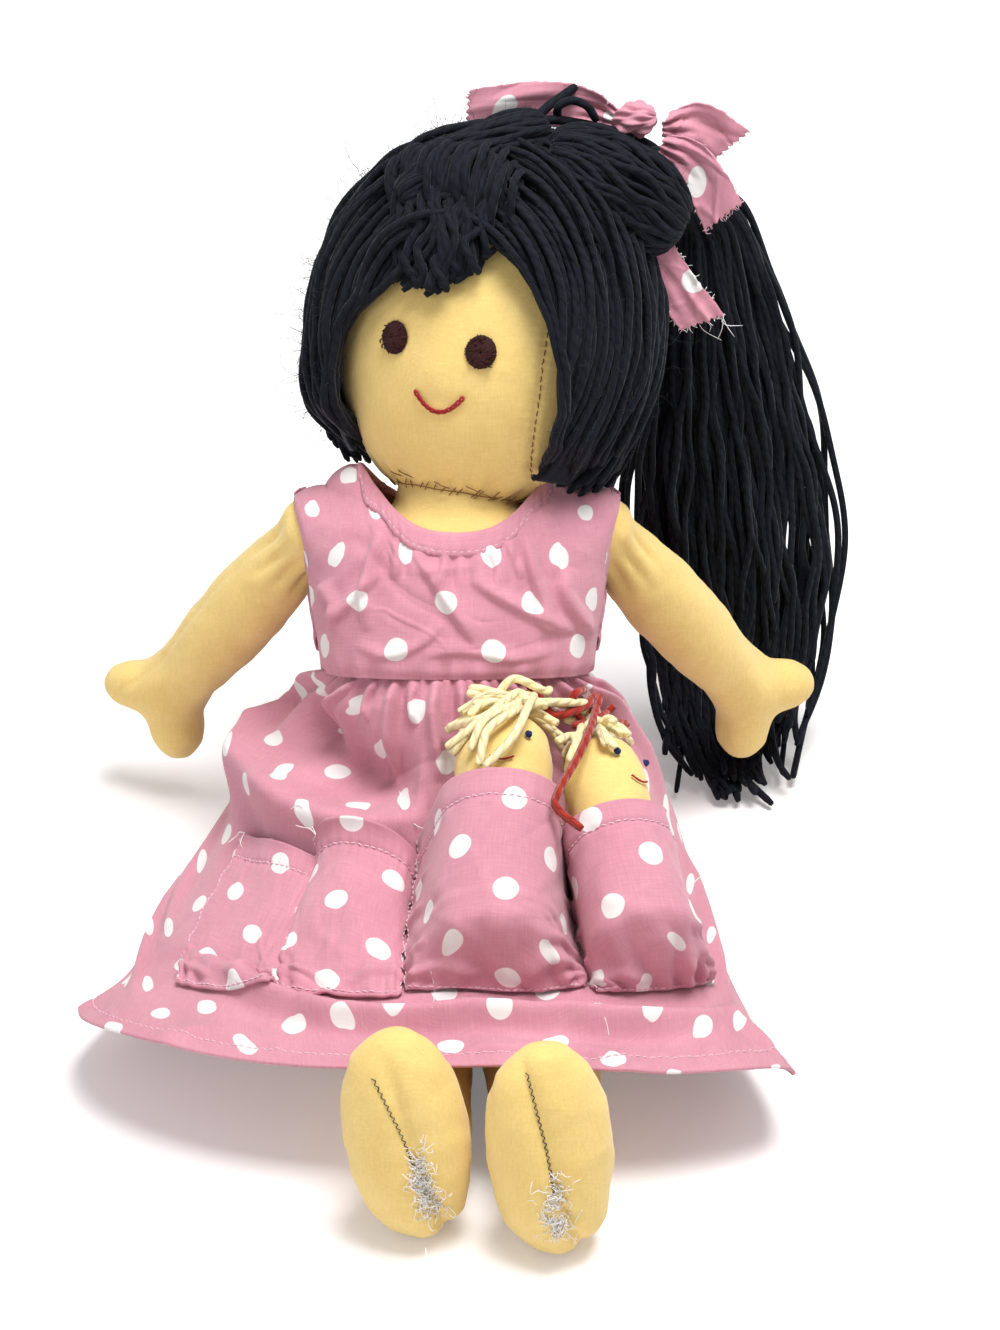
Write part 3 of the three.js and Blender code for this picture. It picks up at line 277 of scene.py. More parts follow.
def fibres(name, roots, outward, length, radius, material, body, seed):
    """Fine short hairs that stand off a surface in all directions."""
    r = np.random.default_rng(seed)
    roots, outward = np.asarray(roots, float), np.asarray(outward, float)
    count = len(roots)
    s = np.linspace(0, 1, 5)[None, :, None]
    lean = unit(r.normal(size=(count, 3)))[:, None]
    curl = r.normal(size=(count, 3))[:, None]
    reach = (length * r.uniform(0.3, 1, count) ** 1.5)[:, None, None]
    path = (
        roots[:, None] + reach * (outward[:, None] * 0.5 * s + lean * 0.75 * s + curl * 0.3 * s**2)
    )
    along = path[:, -1] - path[:, 0]
    side = unit(np.cross(along, r.normal(size=(count, 3))))
    up = unit(np.cross(along, side))
    angle = np.arange(3) * 2 * math.pi / 3
    c, w = np.cos(angle)[None, None, :, None], np.sin(angle)[None, None, :, None]
    ring = (
        path[:, :, None]
        + (c * side[:, None, None] + w * up[:, None, None]) * radius * (1 - 0.8 * s)[..., None]
    )
    faces = (quads(5, 3, True)[None] + (np.arange(count) * 15)[:, None, None]).reshape(-1, 4)
    uv = np.zeros((count * 15, 2))
    mesh_object(name, ring.reshape(-1, 3), faces, material, body, uv)


# Materials


class Nodes:
    def __init__(self, name):
        self.material = bpy.data.materials.new(name)
        self.material.use_nodes = True
        self.tree = self.material.node_tree
        self.shader = self.tree.nodes["Principled BSDF"]

    def add(self, kind, **settings):
        node = self.tree.nodes.new(kind)
        for key, value in settings.items():
            setattr(node, key, value)
        return node

    def link(self, source, target):
        self.tree.links.new(source, target)

    def math(self, operation, a, b=None):
        node = self.add("ShaderNodeMath", operation=operation)
        for socket, value in zip(node.inputs, (a, b)):
            if isinstance(value, (int, float)):
                socket.default_value = value
            elif value is not None:
                self.link(value, socket)
        return node.outputs[0]

    def vector(self, operation, a, b=None):
        """A vector calculation with a fixed second vector; LENGTH gives a number."""
        node = self.add("ShaderNodeVectorMath", operation=operation)
        self.link(a, node.inputs[0])
        if b is not None:
            node.inputs[1].default_value = b
        return node.outputs["Value" if operation == "LENGTH" else "Vector"]

    def surface(self, colour, roughness, sheen, sheen_roughness, specular, normal):
        """Joins the colour and the relief to the shader and sets its even values."""
        self.link(colour, self.shader.inputs["Base Color"])
        self.shader.inputs["Roughness"].default_value = roughness
        self.shader.inputs["Sheen Weight"].default_value = sheen
        self.shader.inputs["Sheen Roughness"].default_value = sheen_roughness
        self.shader.inputs["Specular IOR Level"].default_value = specular
        self.link(normal, self.shader.inputs["Normal"])
        return self.material

    def noise(self, vector, scale, detail=3.0, stretch=None):
        if stretch is not None:
            mapping = self.add("ShaderNodeMapping")
            mapping.inputs["Scale"].default_value = stretch
            self.link(vector, mapping.inputs["Vector"])
            vector = mapping.outputs[0]
        node = self.add("ShaderNodeTexNoise")
        node.inputs["Scale"].default_value = scale
        node.inputs["Detail"].default_value = detail
        self.link(vector, node.inputs["Vector"])
        return node.outputs["Fac"]

    def ramp(self, value, stops):
        node = self.add("ShaderNodeValToRGB")
        ramp = node.color_ramp
        while len(ramp.elements) < len(stops):
            ramp.elements.new(0.5)
        for element, (place, colour) in zip(ramp.elements, stops):
            element.position = place
            element.color = (*colour, 1)
        self.link(value, node.inputs[0])
        return node.outputs[0]

    def mix(self, share, a, b):
        node = self.add("ShaderNodeMix", data_type="RGBA")
        for socket, value in ((node.inputs[0], share), (node.inputs[6], a), (node.inputs[7], b)):
            if isinstance(value, tuple):
                socket.default_value = (*value, 1)
            elif isinstance(value, (int, float)):
                socket.default_value = value
            else:
                self.link(value, socket)
        return node.outputs[2]

    def bump(self, height, distance, strength=1.0, under=None):
        node = self.add("ShaderNodeBump")
        node.inputs["Strength"].default_value = strength
        node.inputs["Distance"].default_value = distance
        self.link(height, node.inputs["Height"])
        if under is not None:
            self.link(under, node.inputs["Normal"])
        return node.outputs[0]


def weave(n, vector, pitch, first="X", second="Y"):
    """A plain weave: threads that pass over and under each other at the real pitch."""
    split = n.add("ShaderNodeSeparateXYZ")
    n.link(vector, split.inputs[0])
    scale = 2 * math.pi / pitch
    a = n.math("SINE", n.math("MULTIPLY", split.outputs[first], scale))
    b = n.math("SINE", n.math("MULTIPLY", split.outputs[second], scale))
    return n.math("MULTIPLY", a, b)


# Distance between the threads of the cotton, in metres
THREAD_PITCH = 0.00042


def coordinates(n, use_uv):
    if use_uv:
        node = n.add("ShaderNodeUVMap", uv_map="cloth")
        return node.outputs[0]
    return n.add("ShaderNodeTexCoord").outputs["Object"]


def cotton(name, base, shade, use_uv, dots=None):
    """Plain woven cotton with slubs and soft fuzz; dots gives a printed pattern."""
    n = Nodes(name)
    place = coordinates(n, use_uv)
    threads = weave(n, place, THREAD_PITCH, "X", "Y" if use_uv else "Z")
    slub_a = n.noise(place, 1500, 2, (1, 0.08, 1) if use_uv else (1, 1, 0.08))
    slub_b = n.noise(place, 1500, 2, (0.08, 1, 1))
    slubs = n.math("MULTIPLY", slub_a, slub_b)
    cloud = n.noise(place, 35)
    tone = n.math("ADD", n.math("MULTIPLY", slubs, 1.1), n.math("MULTIPLY", cloud, 0.75))
    colour = n.ramp(tone, [(0.35, shade), (0.95, base)])
    if dots:
        colour = n.mix(dot_mask(n, place, *dots), colour, WHITE_DOT)
    fuzz = n.noise(place, 2600, 2)
    normal = n.bump(threads, 0.00005, 0.6)
    normal = n.bump(slubs, 0.00025, 0.5, normal)
    normal = n.bump(fuzz, 0.00008, 0.35, normal)
    return n.surface(colour, 0.86, 0.25, 0.5, 0.25, normal)


def dot_mask(n, place, spacing, radius, offset):
    """Round printed dots on a staggered lattice, with slightly ragged soft edges."""
    masks = []
    wobble = n.noise(place, 220, 2)
    for share in (0, 0.5):
        shifted = (offset[0] + share * spacing[0], offset[1] + share * spacing[1], 0)
        cell = n.vector("DIVIDE", n.vector("ADD", place, shifted), (*spacing, 1))
        middle = n.vector("SUBTRACT", n.vector("FRACTION", cell), (0.5, 0.5, 0))
        far = n.vector("LENGTH", n.vector("MULTIPLY", middle, (*spacing, 0)))
        ragged = n.math("ADD", far, n.math("MULTIPLY", wobble, 0.00025))
        soft = n.add("ShaderNodeMapRange")
        soft.inputs["From Min"].default_value = radius + 0.00045
        soft.inputs["From Max"].default_value = radius + 0.00015
        n.link(ragged, soft.inputs["Value"])
        masks.append(soft.outputs[0])
    return n.math("MAXIMUM", masks[0], masks[1])


def yarn(name, base, shade, pitch=0.0052, depth=0.0005, sheen=0.4):
    """Yarn of two plies that wind round the strand, with fine hairs between them, and painted shade
    in the grooves between the plies.
    """
    n = Nodes(name)
    split = n.add("ShaderNodeSeparateXYZ")
    n.link(coordinates(n, True), split.inputs[0])
    around = n.math("MULTIPLY", split.outputs["X"], 4 * math.pi)
    along = n.math("MULTIPLY", split.outputs["Y"], 2 * math.pi / pitch)
    wave = n.math("SINE", n.math("ADD", around, along))
    ridge = n.math("POWER", n.math("MULTIPLY", n.math("ADD", wave, 1.0), 0.5), 0.5)
    hairs = n.noise(coordinates(n, False), 2600, 2)
    # The colour mixes painted shade in the grooves between the plies with the fibres' random tone.
    tone = n.math("ADD", n.math("MULTIPLY", ridge, 0.45), n.math("MULTIPLY", hairs, 0.8))
    normal = n.bump(hairs, depth * 0.6, 0.5, n.bump(ridge, depth, 0.9))
    return n.surface(n.ramp(tone, [(0.25, shade), (1.0, base)]), 0.8, sheen, 0.4, 0.2, normal)


def thread(name, base, shade, pitch=0.0012):
    return yarn(name, base, shade, pitch, 0.00003, 0.05)


DOT = 0.0041
PINK, PINK_SHADE, WHITE_DOT = (0.665, 0.302, 0.372), (0.53, 0.215, 0.28), (0.80, 0.77, 0.75)
skin = cotton("skin_cotton", (0.87, 0.655, 0.245), (0.76, 0.53, 0.17), False)
dress = cotton("dress_cotton", PINK, PINK_SHADE, True, ((0.034, 0.034), DOT, (0.004, 0.006)))
plain_pink = cotton("dress_binding", PINK, PINK_SHADE, True)
ribbon_cloth = cotton("ribbon_cotton", PINK, PINK_SHADE, True, ((0.046, 0.04), DOT, (0.0, 0.0)))
black_yarn = yarn(
    "dark_yarn", (0.005, 0.0075, 0.0145), (0.0012, 0.0017, 0.004), 0.0048, 0.0002, 0.06
)
fuzz_yarn = yarn("dark_fibre", (0.008, 0.011, 0.02), (0.004, 0.006, 0.011), 0.0048, 0.0001, 0.1)
cream = yarn("cream_yarn", (0.93, 0.84, 0.52), (0.78, 0.62, 0.30))
red = yarn("red_yarn", (0.42, 0.03, 0.015), (0.20, 0.012, 0.008))
brown_thread = thread("eye_thread", (0.055, 0.015, 0.013), (0.022, 0.006, 0.006))
mouth_thread = thread("mouth_thread", (0.42, 0.03, 0.035), (0.22, 0.015, 0.02), 0.0016)
blue = thread("blue_thread", (0.025, 0.04, 0.16), (0.012, 0.02, 0.08))
seam_thread = thread("seam_thread", (0.30, 0.15, 0.06), (0.16, 0.08, 0.03))
pink_thread = thread("dress_thread", (0.84, 0.58, 0.66), (0.62, 0.36, 0.44), 0.001)
white_thread = thread("loose_thread", (0.97, 0.95, 0.93), (0.93, 0.90, 0.88), 0.001)
dark_thread = thread("sole_thread", (0.10, 0.085, 0.06), (0.05, 0.04, 0.03))

# Body and bodice, in the torso's frame


def smooth_through(points, place):
    place = np.asarray(place, float)
    xs = np.array([p[0] for p in points], float)
    ys = np.array([p[1] for p in points], float)
    slopes = np.empty(len(xs))
    slopes[0] = (ys[1] - ys[0]) / (xs[1] - xs[0])
    slopes[-1] = (ys[-1] - ys[-2]) / (xs[-1] - xs[-2])
    slopes[1:-1] = (ys[2:] - ys[:-2]) / (xs[2:] - xs[:-2])
    p = np.clip(place, xs[0], xs[-1])
    i = np.clip(np.searchsorted(xs, p, side="right") - 1, 0, len(xs) - 2)
    h = xs[i + 1] - xs[i]
    t = (p - xs[i]) / h
    return (
        ys[i] * (1 + 2 * t) * (1 - t) ** 2
        + ys[i + 1] * t * t * (3 - 2 * t)
        + h * slopes[i] * t * (1 - t) ** 2
        + h * slopes[i + 1] * t * t * (t - 1)
    )


def creases(seed, count, u, v, width=(0.02, 0.05), length=(0.1, 0.3), lean=0.6, depth=(0.4, 1.0)):
    """Soft ridges and valleys of used cloth, as heights over (u, v)."""
    r = np.random.default_rng(seed)
    out = np.zeros(np.broadcast(u, v).shape)
    for _ in range(count):
        cu, cv = r.random(2)
        a = math.pi / 2 + r.normal(0, lean)
        w, l = r.uniform(*width), r.uniform(*length)
        size = r.uniform(*depth) * (1 if r.random() < 0.6 else -1)
        along = (u - cu) * math.cos(a) + (v - cv) * math.sin(a)
        across = -(u - cu) * math.sin(a) + (v - cv) * math.cos(a) + 0.3 * along**2 / l * r.normal()
        out += size * np.exp(-((across / w) ** 2) - (along / l) ** 2)
    return out


def solid_cloth(obj, thickness):
    m = obj.modifiers.new("cloth", "SOLIDIFY")
    m.thickness = thickness * MM
    m.offset = 0


def cloth_piece(
    name, p, material, body, thickness, frame_matrix=None, moved=(0, 0)
):
    """A grid of points as a sheet of cloth, with a print that keeps its real size."""
    points = p.reshape(-1, 3)
    if frame_matrix is not None:
        points = to(frame_matrix, points)
    uv = (flat_uv(p) + np.array(moved)).reshape(-1, 2)
    obj = mesh_object(name, points, quads(*p.shape[:2]), material, body, uv)
    solid_cloth(obj, thickness)
    return obj


def sewn_row(
    name, line, normals, body="skirt", frame_matrix=None, step=2.5, radius=0.25, wander=0.0
):
    """A row of the dress's machine stitches."""
    if frame_matrix is not None:
        line, normals = to(frame_matrix, line), normals @ frame_matrix[:3, :3].T
    return stitch_row(name, line, normals, step, radius, pink_thread, body, wander)


def flat_uv(points):
    """Lengths across and along a grid, so that a print keeps its real size."""
    across = np.linalg.norm(np.diff(points, axis=1), axis=2)
    along = np.linalg.norm(np.diff(points, axis=0), axis=2)
    rows, cols = points.shape[:2]
    middle = cols // 2
    u = np.zeros((rows, cols))
    u[:, 1:] = np.cumsum(across, axis=1)
    u -= u[:, middle : middle + 1]
    v = np.zeros((rows, cols))
    v[1:] = np.cumsum(along, axis=0)
    return np.stack([u, v], -1)


def fold(x, y, path, height, wide, steep=None):
    """A soft ridge along a line, which can be steeper on one of its sides."""
    steep = steep or wide
    nearest = np.full(np.broadcast(x, y).shape, 1e9)
    value = np.zeros(nearest.shape)
    line = spline([(*p, 0) for p in path], 22)[:, :2]
    for k, (a, b) in enumerate(zip(line[:-1], line[1:])):
        d = b - a
        t = np.clip(((x - a[0]) * d[0] + (y - a[1]) * d[1]) / (d @ d), 0, 1)
        dx, dy = x - (a[0] + t * d[0]), y - (a[1] + t * d[1])
        far = np.hypot(dx, dy)
        side = np.where(d[0] * dy - d[1] * dx > 0, wide, steep)
        place = (k + t) / (len(line) - 1)
        taper = np.minimum(1, np.minimum(place, 1 - place) / 0.25) ** 0.8
        value = np.where(far < nearest, bell(far, side) * taper, value)
        nearest = np.minimum(nearest, far)
    return height * value


BODICE_WIDE = [
    (53, 46.2), (57, 46.6), (72, 48.8), (86, 51.6), (100, 53.5), (107, 52), (113, 46), (117, 38),
    (121, 28)
]
BODICE_DEEP = [
    (53, 36.7), (57, 36.5), (75, 35.4), (90, 33.2), (100, 30.5), (107, 27), (113, 20), (117, 12),
    (121, 2)
]
ARMHOLE = {
    True: [
        (53, 45.0), (66, 47), (77, 50), (88, 51), (98, 51), (107, 53.5), (114, 56.0), (120, 57.0),
        (128, 57.5)
    ],
    False: [
        (53, 45.0), (66, 46.5), (76, 48), (88, 47), (98, 47), (107, 51), (114, 56.0), (120, 57.0),
        (128, 57.5)
    ],
}


def bodice_depth(x, z):
    """How far the loose bodice stands out at a place: round the body and over the shoulders."""
    wide, deep = smooth_through(BODICE_WIDE, z), smooth_through(BODICE_DEEP, z)
    body = deep * np.maximum(1 - np.abs(x / wide) ** 2.4, 0) ** (1 / 2.4)
    ball = np.sqrt(np.maximum(15.4**2 - (np.abs(x) - 46.5) ** 2 - (z - 103.3) ** 2, 0))
    strap = np.sqrt(np.maximum(13.0**2 - (np.abs(x) - 33.5) ** 2 - (z - 113.5) ** 2, 0))
    return (body**4 + ball**4 + strap**4) ** 0.25


def neckline(x, front):
    low = 103.5 if front else 110.5
    return low + (126 - low) * np.clip(np.abs(x) / 33.0, 0, 1) ** 2.5


def bodice_grid(front, columns=281, rows=141):
    """Each column runs from the waist seam up to the neckline or over the shoulder to its seam."""
    fine = np.linspace(54.0, 127.4, 760)
    # The front and the back meet in the side seam below the armhole
    hole = smooth_through(ARMHOLE[front], fine)
    opened = ease(np.clip((fine - 77.5) / 6, 0, 1))
    outer = 0.99999 * smooth_through(BODICE_WIDE, fine) * (1 - opened) + hole * opened
    points = np.empty((rows, columns, 3))
    for j, lean in enumerate(np.linspace(-1, 1, columns)):
        x = lean * outer
        depth = bodice_depth(x, fine)
        inside = (depth > 0.4) & (fine <= neckline(x, front))
        last = len(fine) if inside.all() else int(np.argmin(inside))
        line = np.stack([x, -depth if front else depth, fine], -1)[:last]
        gaps = lengths(line)
        points[:, j] = along_line(np.linspace(0, gaps[-1], rows), gaps, line)
    return points


BODICE_FOLDS = [
    ([(-26, 103), (-29, 94), (-31, 82), (-30, 70)], 2.6, 2.6, 1.2),
    ([(-15, 98), (-8, 88), (0, 76), (8, 65)], 2.6, 3.8, 1.4),
    ([(24, 102), (25, 92), (29, 80), (30, 70)], 3.0, 2.6, 1.3),
    ([(5, 88), (16, 81), (31, 73), (40, 70)], 2.4, 2.8, 1.4),
    ([(-43, 72), (-35, 80), (-25, 91)], 2.2, 2.6, 1.3),
    ([(38, 92), (36, 84), (41, 74), (46, 68)], 3.4, 3.0, 1.6),
    ([(-46, 86), (-41, 78), (-43, 66)], 2.4, 2.4, 1.4),
    ([(-12, 62), (2, 64), (20, 61), (34, 64)], 1.6, 2.6, 1.6),
    ([(-34, 66), (-24, 62), (-12, 66), (-4, 74)], 1.5, 2.4, 1.5),
    ([(10, 100), (14, 92), (13, 84)], 1.5, 2.0, 1.1),
    ([(-5, 101), (-4, 92), (-8, 84)], 1.4, 1.8, 1.1),
    ([(17, 101), (20, 94), (22, 88)], 1.4, 1.6, 1.0),
    ([(-20, 100), (-20, 93), (-22, 88)], 1.2, 1.6, 1.0),
]


def make_bodice():
    for front in (True, False):
        name = "bodice_front" if front else "bodice_back"
        smooth = bodice_grid(front)
        rows, columns = smooth.shape[:2]
        t, u = np.meshgrid(np.linspace(0, 1, rows), np.linspace(0, 1, columns), indexing="ij")
        x, z = smooth[..., 0], smooth[..., 2]
        phase = x * 0.62 + 1.6 * np.sin(x * 0.17) + z * 0.03
        low = 0.75 * bell(z - 54, 5.5) * np.sin(phase)
        below = neckline(x, front) - z
        scoop = bell(below - 14, 5.5) * np.clip((36 - np.abs(x)) / 8, 0, 1)
        gather = low + 0.6 * scoop * np.sin(x * 0.85 + 1.2 * np.sin(x * 0.3))
        soft = creases(3 if front else 4, 40, u, t, (0.012, 0.035), (0.05, 0.2), 0.9, (0.15, 0.5))
        soft += creases(13 if front else 14, 12, u, t, (0.04, 0.1), (0.15, 0.4), 0.7, (0.3, 0.9))
        side = 1 if front else -1
        for path, high, wide, steep in BODICE_FOLDS:
            soft = soft + fold(x * side, z, path, high, wide, steep)
        soft = soft * np.clip(t * 9, 0, 1) * np.clip((1 - t) * 10, 0, 1) * np.clip(
            (0.5 - np.abs(u - 0.5)) * 24, 0, 1
        )
        inward = 1.6 * bell(t, 0.035)
        p, n = push_out(smooth, np.maximum(gather + soft + 0.75, 0.05) - inward, front)
        obj = cloth_piece(name + "_cloth", p, dress, "torso", 1.1, UPPER)
        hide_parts(name)
        # Bindings along the neckline and the armholes, each with its row of stitches
        inner = [j for j in range(columns) if abs(smooth[-1, j, 0]) < 34.5]
        a, b = inner[0], inner[-1] + 1
        edge = smooth[-1, a:b]
        slope = np.gradient(edge[:, 2]) / np.gradient(edge[:, 0])
        wide = 8.6 * np.minimum(np.sqrt(1 + slope**2), 1.9)
        lines, normals = (g[::-1, a:b].transpose(1, 0, 2)[:, :70] for g in (smooth, n))
        edge_band(name + "_neck_binding", lines, normals, wide)
        first = int(rows * 0.31)
        edge_band(name + "_right_binding", smooth[first:-2, :70], n[first:-2, :70], 6.5)
        edge_band(name + "_left_binding", smooth[first:-2, :-71:-1], n[first:-2, :-71:-1], 6.5)


def push_out(p, relief, front):
    du = np.gradient(p, axis=1)
    dv = np.gradient(p, axis=0)
    n = unit(np.cross(du, dv))
    away = np.array([0, -1.0 if front else 1.0, 0.25])
    centre = p - np.array([0, 0, 90.0])
    flip = np.sum(n * (centre * np.array([1, 1, 0.3]) + away), -1, keepdims=True) < 0
    n = np.where(flip, -n, n)
    return p + n * relief[..., None], n


def edge_band(name, lines, normals, width):
    """A folded strip sewn over a cloth edge.

    The lines run over the cloth from each place on its edge.
    """
    lines, normals = np.array(lines, float), np.array(normals, float)
    for _ in range(10):
        for data in (lines, normals):
            data[1:-1] = (data[:-2] + 2 * data[1:-1] + data[2:]) / 4
    normals = unit(normals)
    width = np.broadcast_to(width, len(lines))
    s = np.linspace(0, 1, 17)
    place = lengths(lines[:, 0])
    pucker = 0.2 * np.sin(place * 2 * math.pi / 5.1 + 0.8 * np.sin(place / 4))
    pucker = pucker + 0.14 * np.sin(place * 2 * math.pi / 8.3 + 1)
    lift = 1.5 * (1 - np.abs(2 * s - 1) ** 7) - 0.3 * bell(s - 0.8, 0.07) + 0.5
    p, n = np.empty((len(lines), 17, 3)), np.empty((len(lines), 17, 3))
    for i, (line, normal) in enumerate(zip(lines, normals)):
        gaps = lengths(line)
        p[i] = along_line(s * width[i], gaps, line)
        n[i] = along_line(s * width[i], gaps, normal)
    n = unit(n)
    p = p + n * (lift[None] + pucker[:, None] * (s * 1.3)[None])[..., None]
    p[:, 0] -= n[:, 0] * 1.7
    cloth_piece(name, p, plain_pink, "torso", 0.8, UPPER)
    sewn_row(name + "_stitches", p[:, 13] + n[:, 13] * 0.2, n[:, 13], "torso", UPPER, 2.6, 0.2)


# Length of a machine stitch
STITCH = 1.9


def stitch_row(name, path, outward, step, radius, material, body, wander=0.0):
    """A row of short sunk stitches along a line; outward are the normals at its points."""
    path = np.asarray(path, float)
    outward = unit(np.broadcast_to(outward, path.shape))
    place = lengths(path)
    r = np.random.default_rng(len(path))
    runs = []
    s = step * 0.3
    while s + STITCH < place[-1]:
        a, m, b = (along_line(s + share * STITCH, place, path) for share in (0, 0.5, 1))
        n = along_line(s + STITCH / 2, place, outward)
        side = np.cross(unit(b - a), n)
        off, off2 = (side * r.normal(0, wander) if wander else 0 for _ in range(2))
        low, high = n * radius * 1.1, n * radius * 0.5
        run = [a - low + off, a + (m - a) * 0.35 + high + off, m + n * radius * 0.9]
        run += [b + (m - b) * 0.35 + high + off2, b - low + off2]
        runs.append(spline(run, 8))
        s += step
    if runs:
        return tubes(name, runs, radius, material, body, 5, taper=0.7)


# Skirt and pockets


def catmull(points, t):
    """The centripetal curve that the solids use, at shares t of its points."""
    pts = np.asarray(points, float)
    t = np.clip(np.asarray(t, float), 0, 1) * (len(pts) - 1)
    i = np.minimum(t.astype(int), len(pts) - 2)
    w = t - i
    ext = np.vstack([2 * pts[0] - pts[1], pts, 2 * pts[-1] - pts[-2]])
    p0, p1, p2, p3 = ext[i], ext[i + 1], ext[i + 2], ext[i + 3]

    def gap(a, b):
        return np.maximum(np.sum((a - b) ** 2, -1, keepdims=True) ** 0.25, 1e-4)

    d0, d1, d2 = gap(p0, p1), gap(p1, p2), gap(p2, p3)
    t1 = ((p1 - p0) / d0 - (p2 - p0) / (d0 + d1) + (p2 - p1) / d1) * d1
    t2 = ((p2 - p1) / d1 - (p3 - p1) / (d1 + d2) + (p3 - p2) / d2) * d1
    w = w[..., None]
    return (
        p1
        + t1 * w
        + (-3 * p1 + 3 * p2 - 2 * t1 - t2) * w**2
        + (2 * p1 - 2 * p2 + t1 + t2) * w**3
    )


LAP = 2 * LEG_RADIUS + 2 * CLEAR + CLOTH


def waist_point(x, y):
    return to(UPPER, [x, y, 55 - CLEAR - 0.7 * CLOTH])


GUIDES = {
    "left": [
        waist_point(-43.45, 0), (-58, 50, 58), (-82, 46, 20), (-103, -4, 8), (-112, -55, 14),
        (-125, -87, 24)
    ],
    "right": [
        waist_point(43.45, 0), (57, 50, 58), (76, 46, 20), (86, -4, 8), (96, -78, 19),
        (109, -126, 27)
    ],
    "front": [
        waist_point(0, -35.45), (0, -20.5, 79), (0, -46, LAP + 6), (0, -85, LAP + 2),
        (2, -122, LAP + 1), (5, -147, LAP + 1.5)
    ],
    "back": [
        waist_point(0, 35.45), (0, 66, 32), (0, 62, 4), (0, 34, 0.6), (0, -12, 0.6), (0, -50, 0.6)
    ],
}


def skirt_smooth(turned, share, front):
    turned, share = np.broadcast_arrays(np.asarray(turned, float), np.clip(share, 0, 1))
    middle = catmull(GUIDES["front" if front else "back"], share)
    side = np.where(
        (turned < 0)[..., None], catmull(GUIDES["left"], share), catmull(GUIDES["right"], share)
    )
    angle = np.abs(turned) * math.pi / 2
    out = 1 - np.cos(angle)
    rise = out if front else out ** (1 + 0.8 * np.minimum(1, share * 3))
    mix = np.stack([np.sin(angle), out, rise], -1)
    return middle + (side - middle) * mix


def skirt_normal(turned, share, front):
    u = np.clip(turned, -0.985, 0.985)
    v = np.clip(share, 0.004, 0.996)
    e = 2e-3
    du = skirt_smooth(u + e, v, front) - skirt_smooth(u - e, v, front)
    dv = skirt_smooth(u, v + e, front) - skirt_smooth(u, v - e, front)
    n = unit(np.cross(du, dv))
    if front:
        return np.where(n[..., 2:3] < 0, -n, n)
    inward = np.sum(n * (skirt_smooth(u, v, front) - np.array([0, 10, 50])), -1, keepdims=True) < 0
    return np.where(inward, -n, n)


def skirt_relief(turned, share, front):
    edge = 1 - turned**4
    gathers = 1.6 * edge * bell(share, 0.3) * np.minimum(1, share * 12)
    wave = gathers * (1 + np.cos(2 * math.pi * 9 * (turned + 1) * 0.5))
    if not front:
        return np.where(share < 0.3, wave, 0)
    across = (turned + 0.74 - 0.36 * share) / 0.1
    along = bell(share - 0.34, 0.2)
    ridges = 6 * along * (bell(across - 1.2, 1) + bell(across + 1.2, 1))
    hem = 6 * np.maximum(0, share - 0.8) * (1 + np.sin(9 * turned + 1))
    return wave + ridges + hem


# Half the width and the length of a skirt panel for its folds, and where its hem is sewn
SKIRT_SPAN, SKIRT_LENGTH = 120, 168
HEM_LINE = 0.943

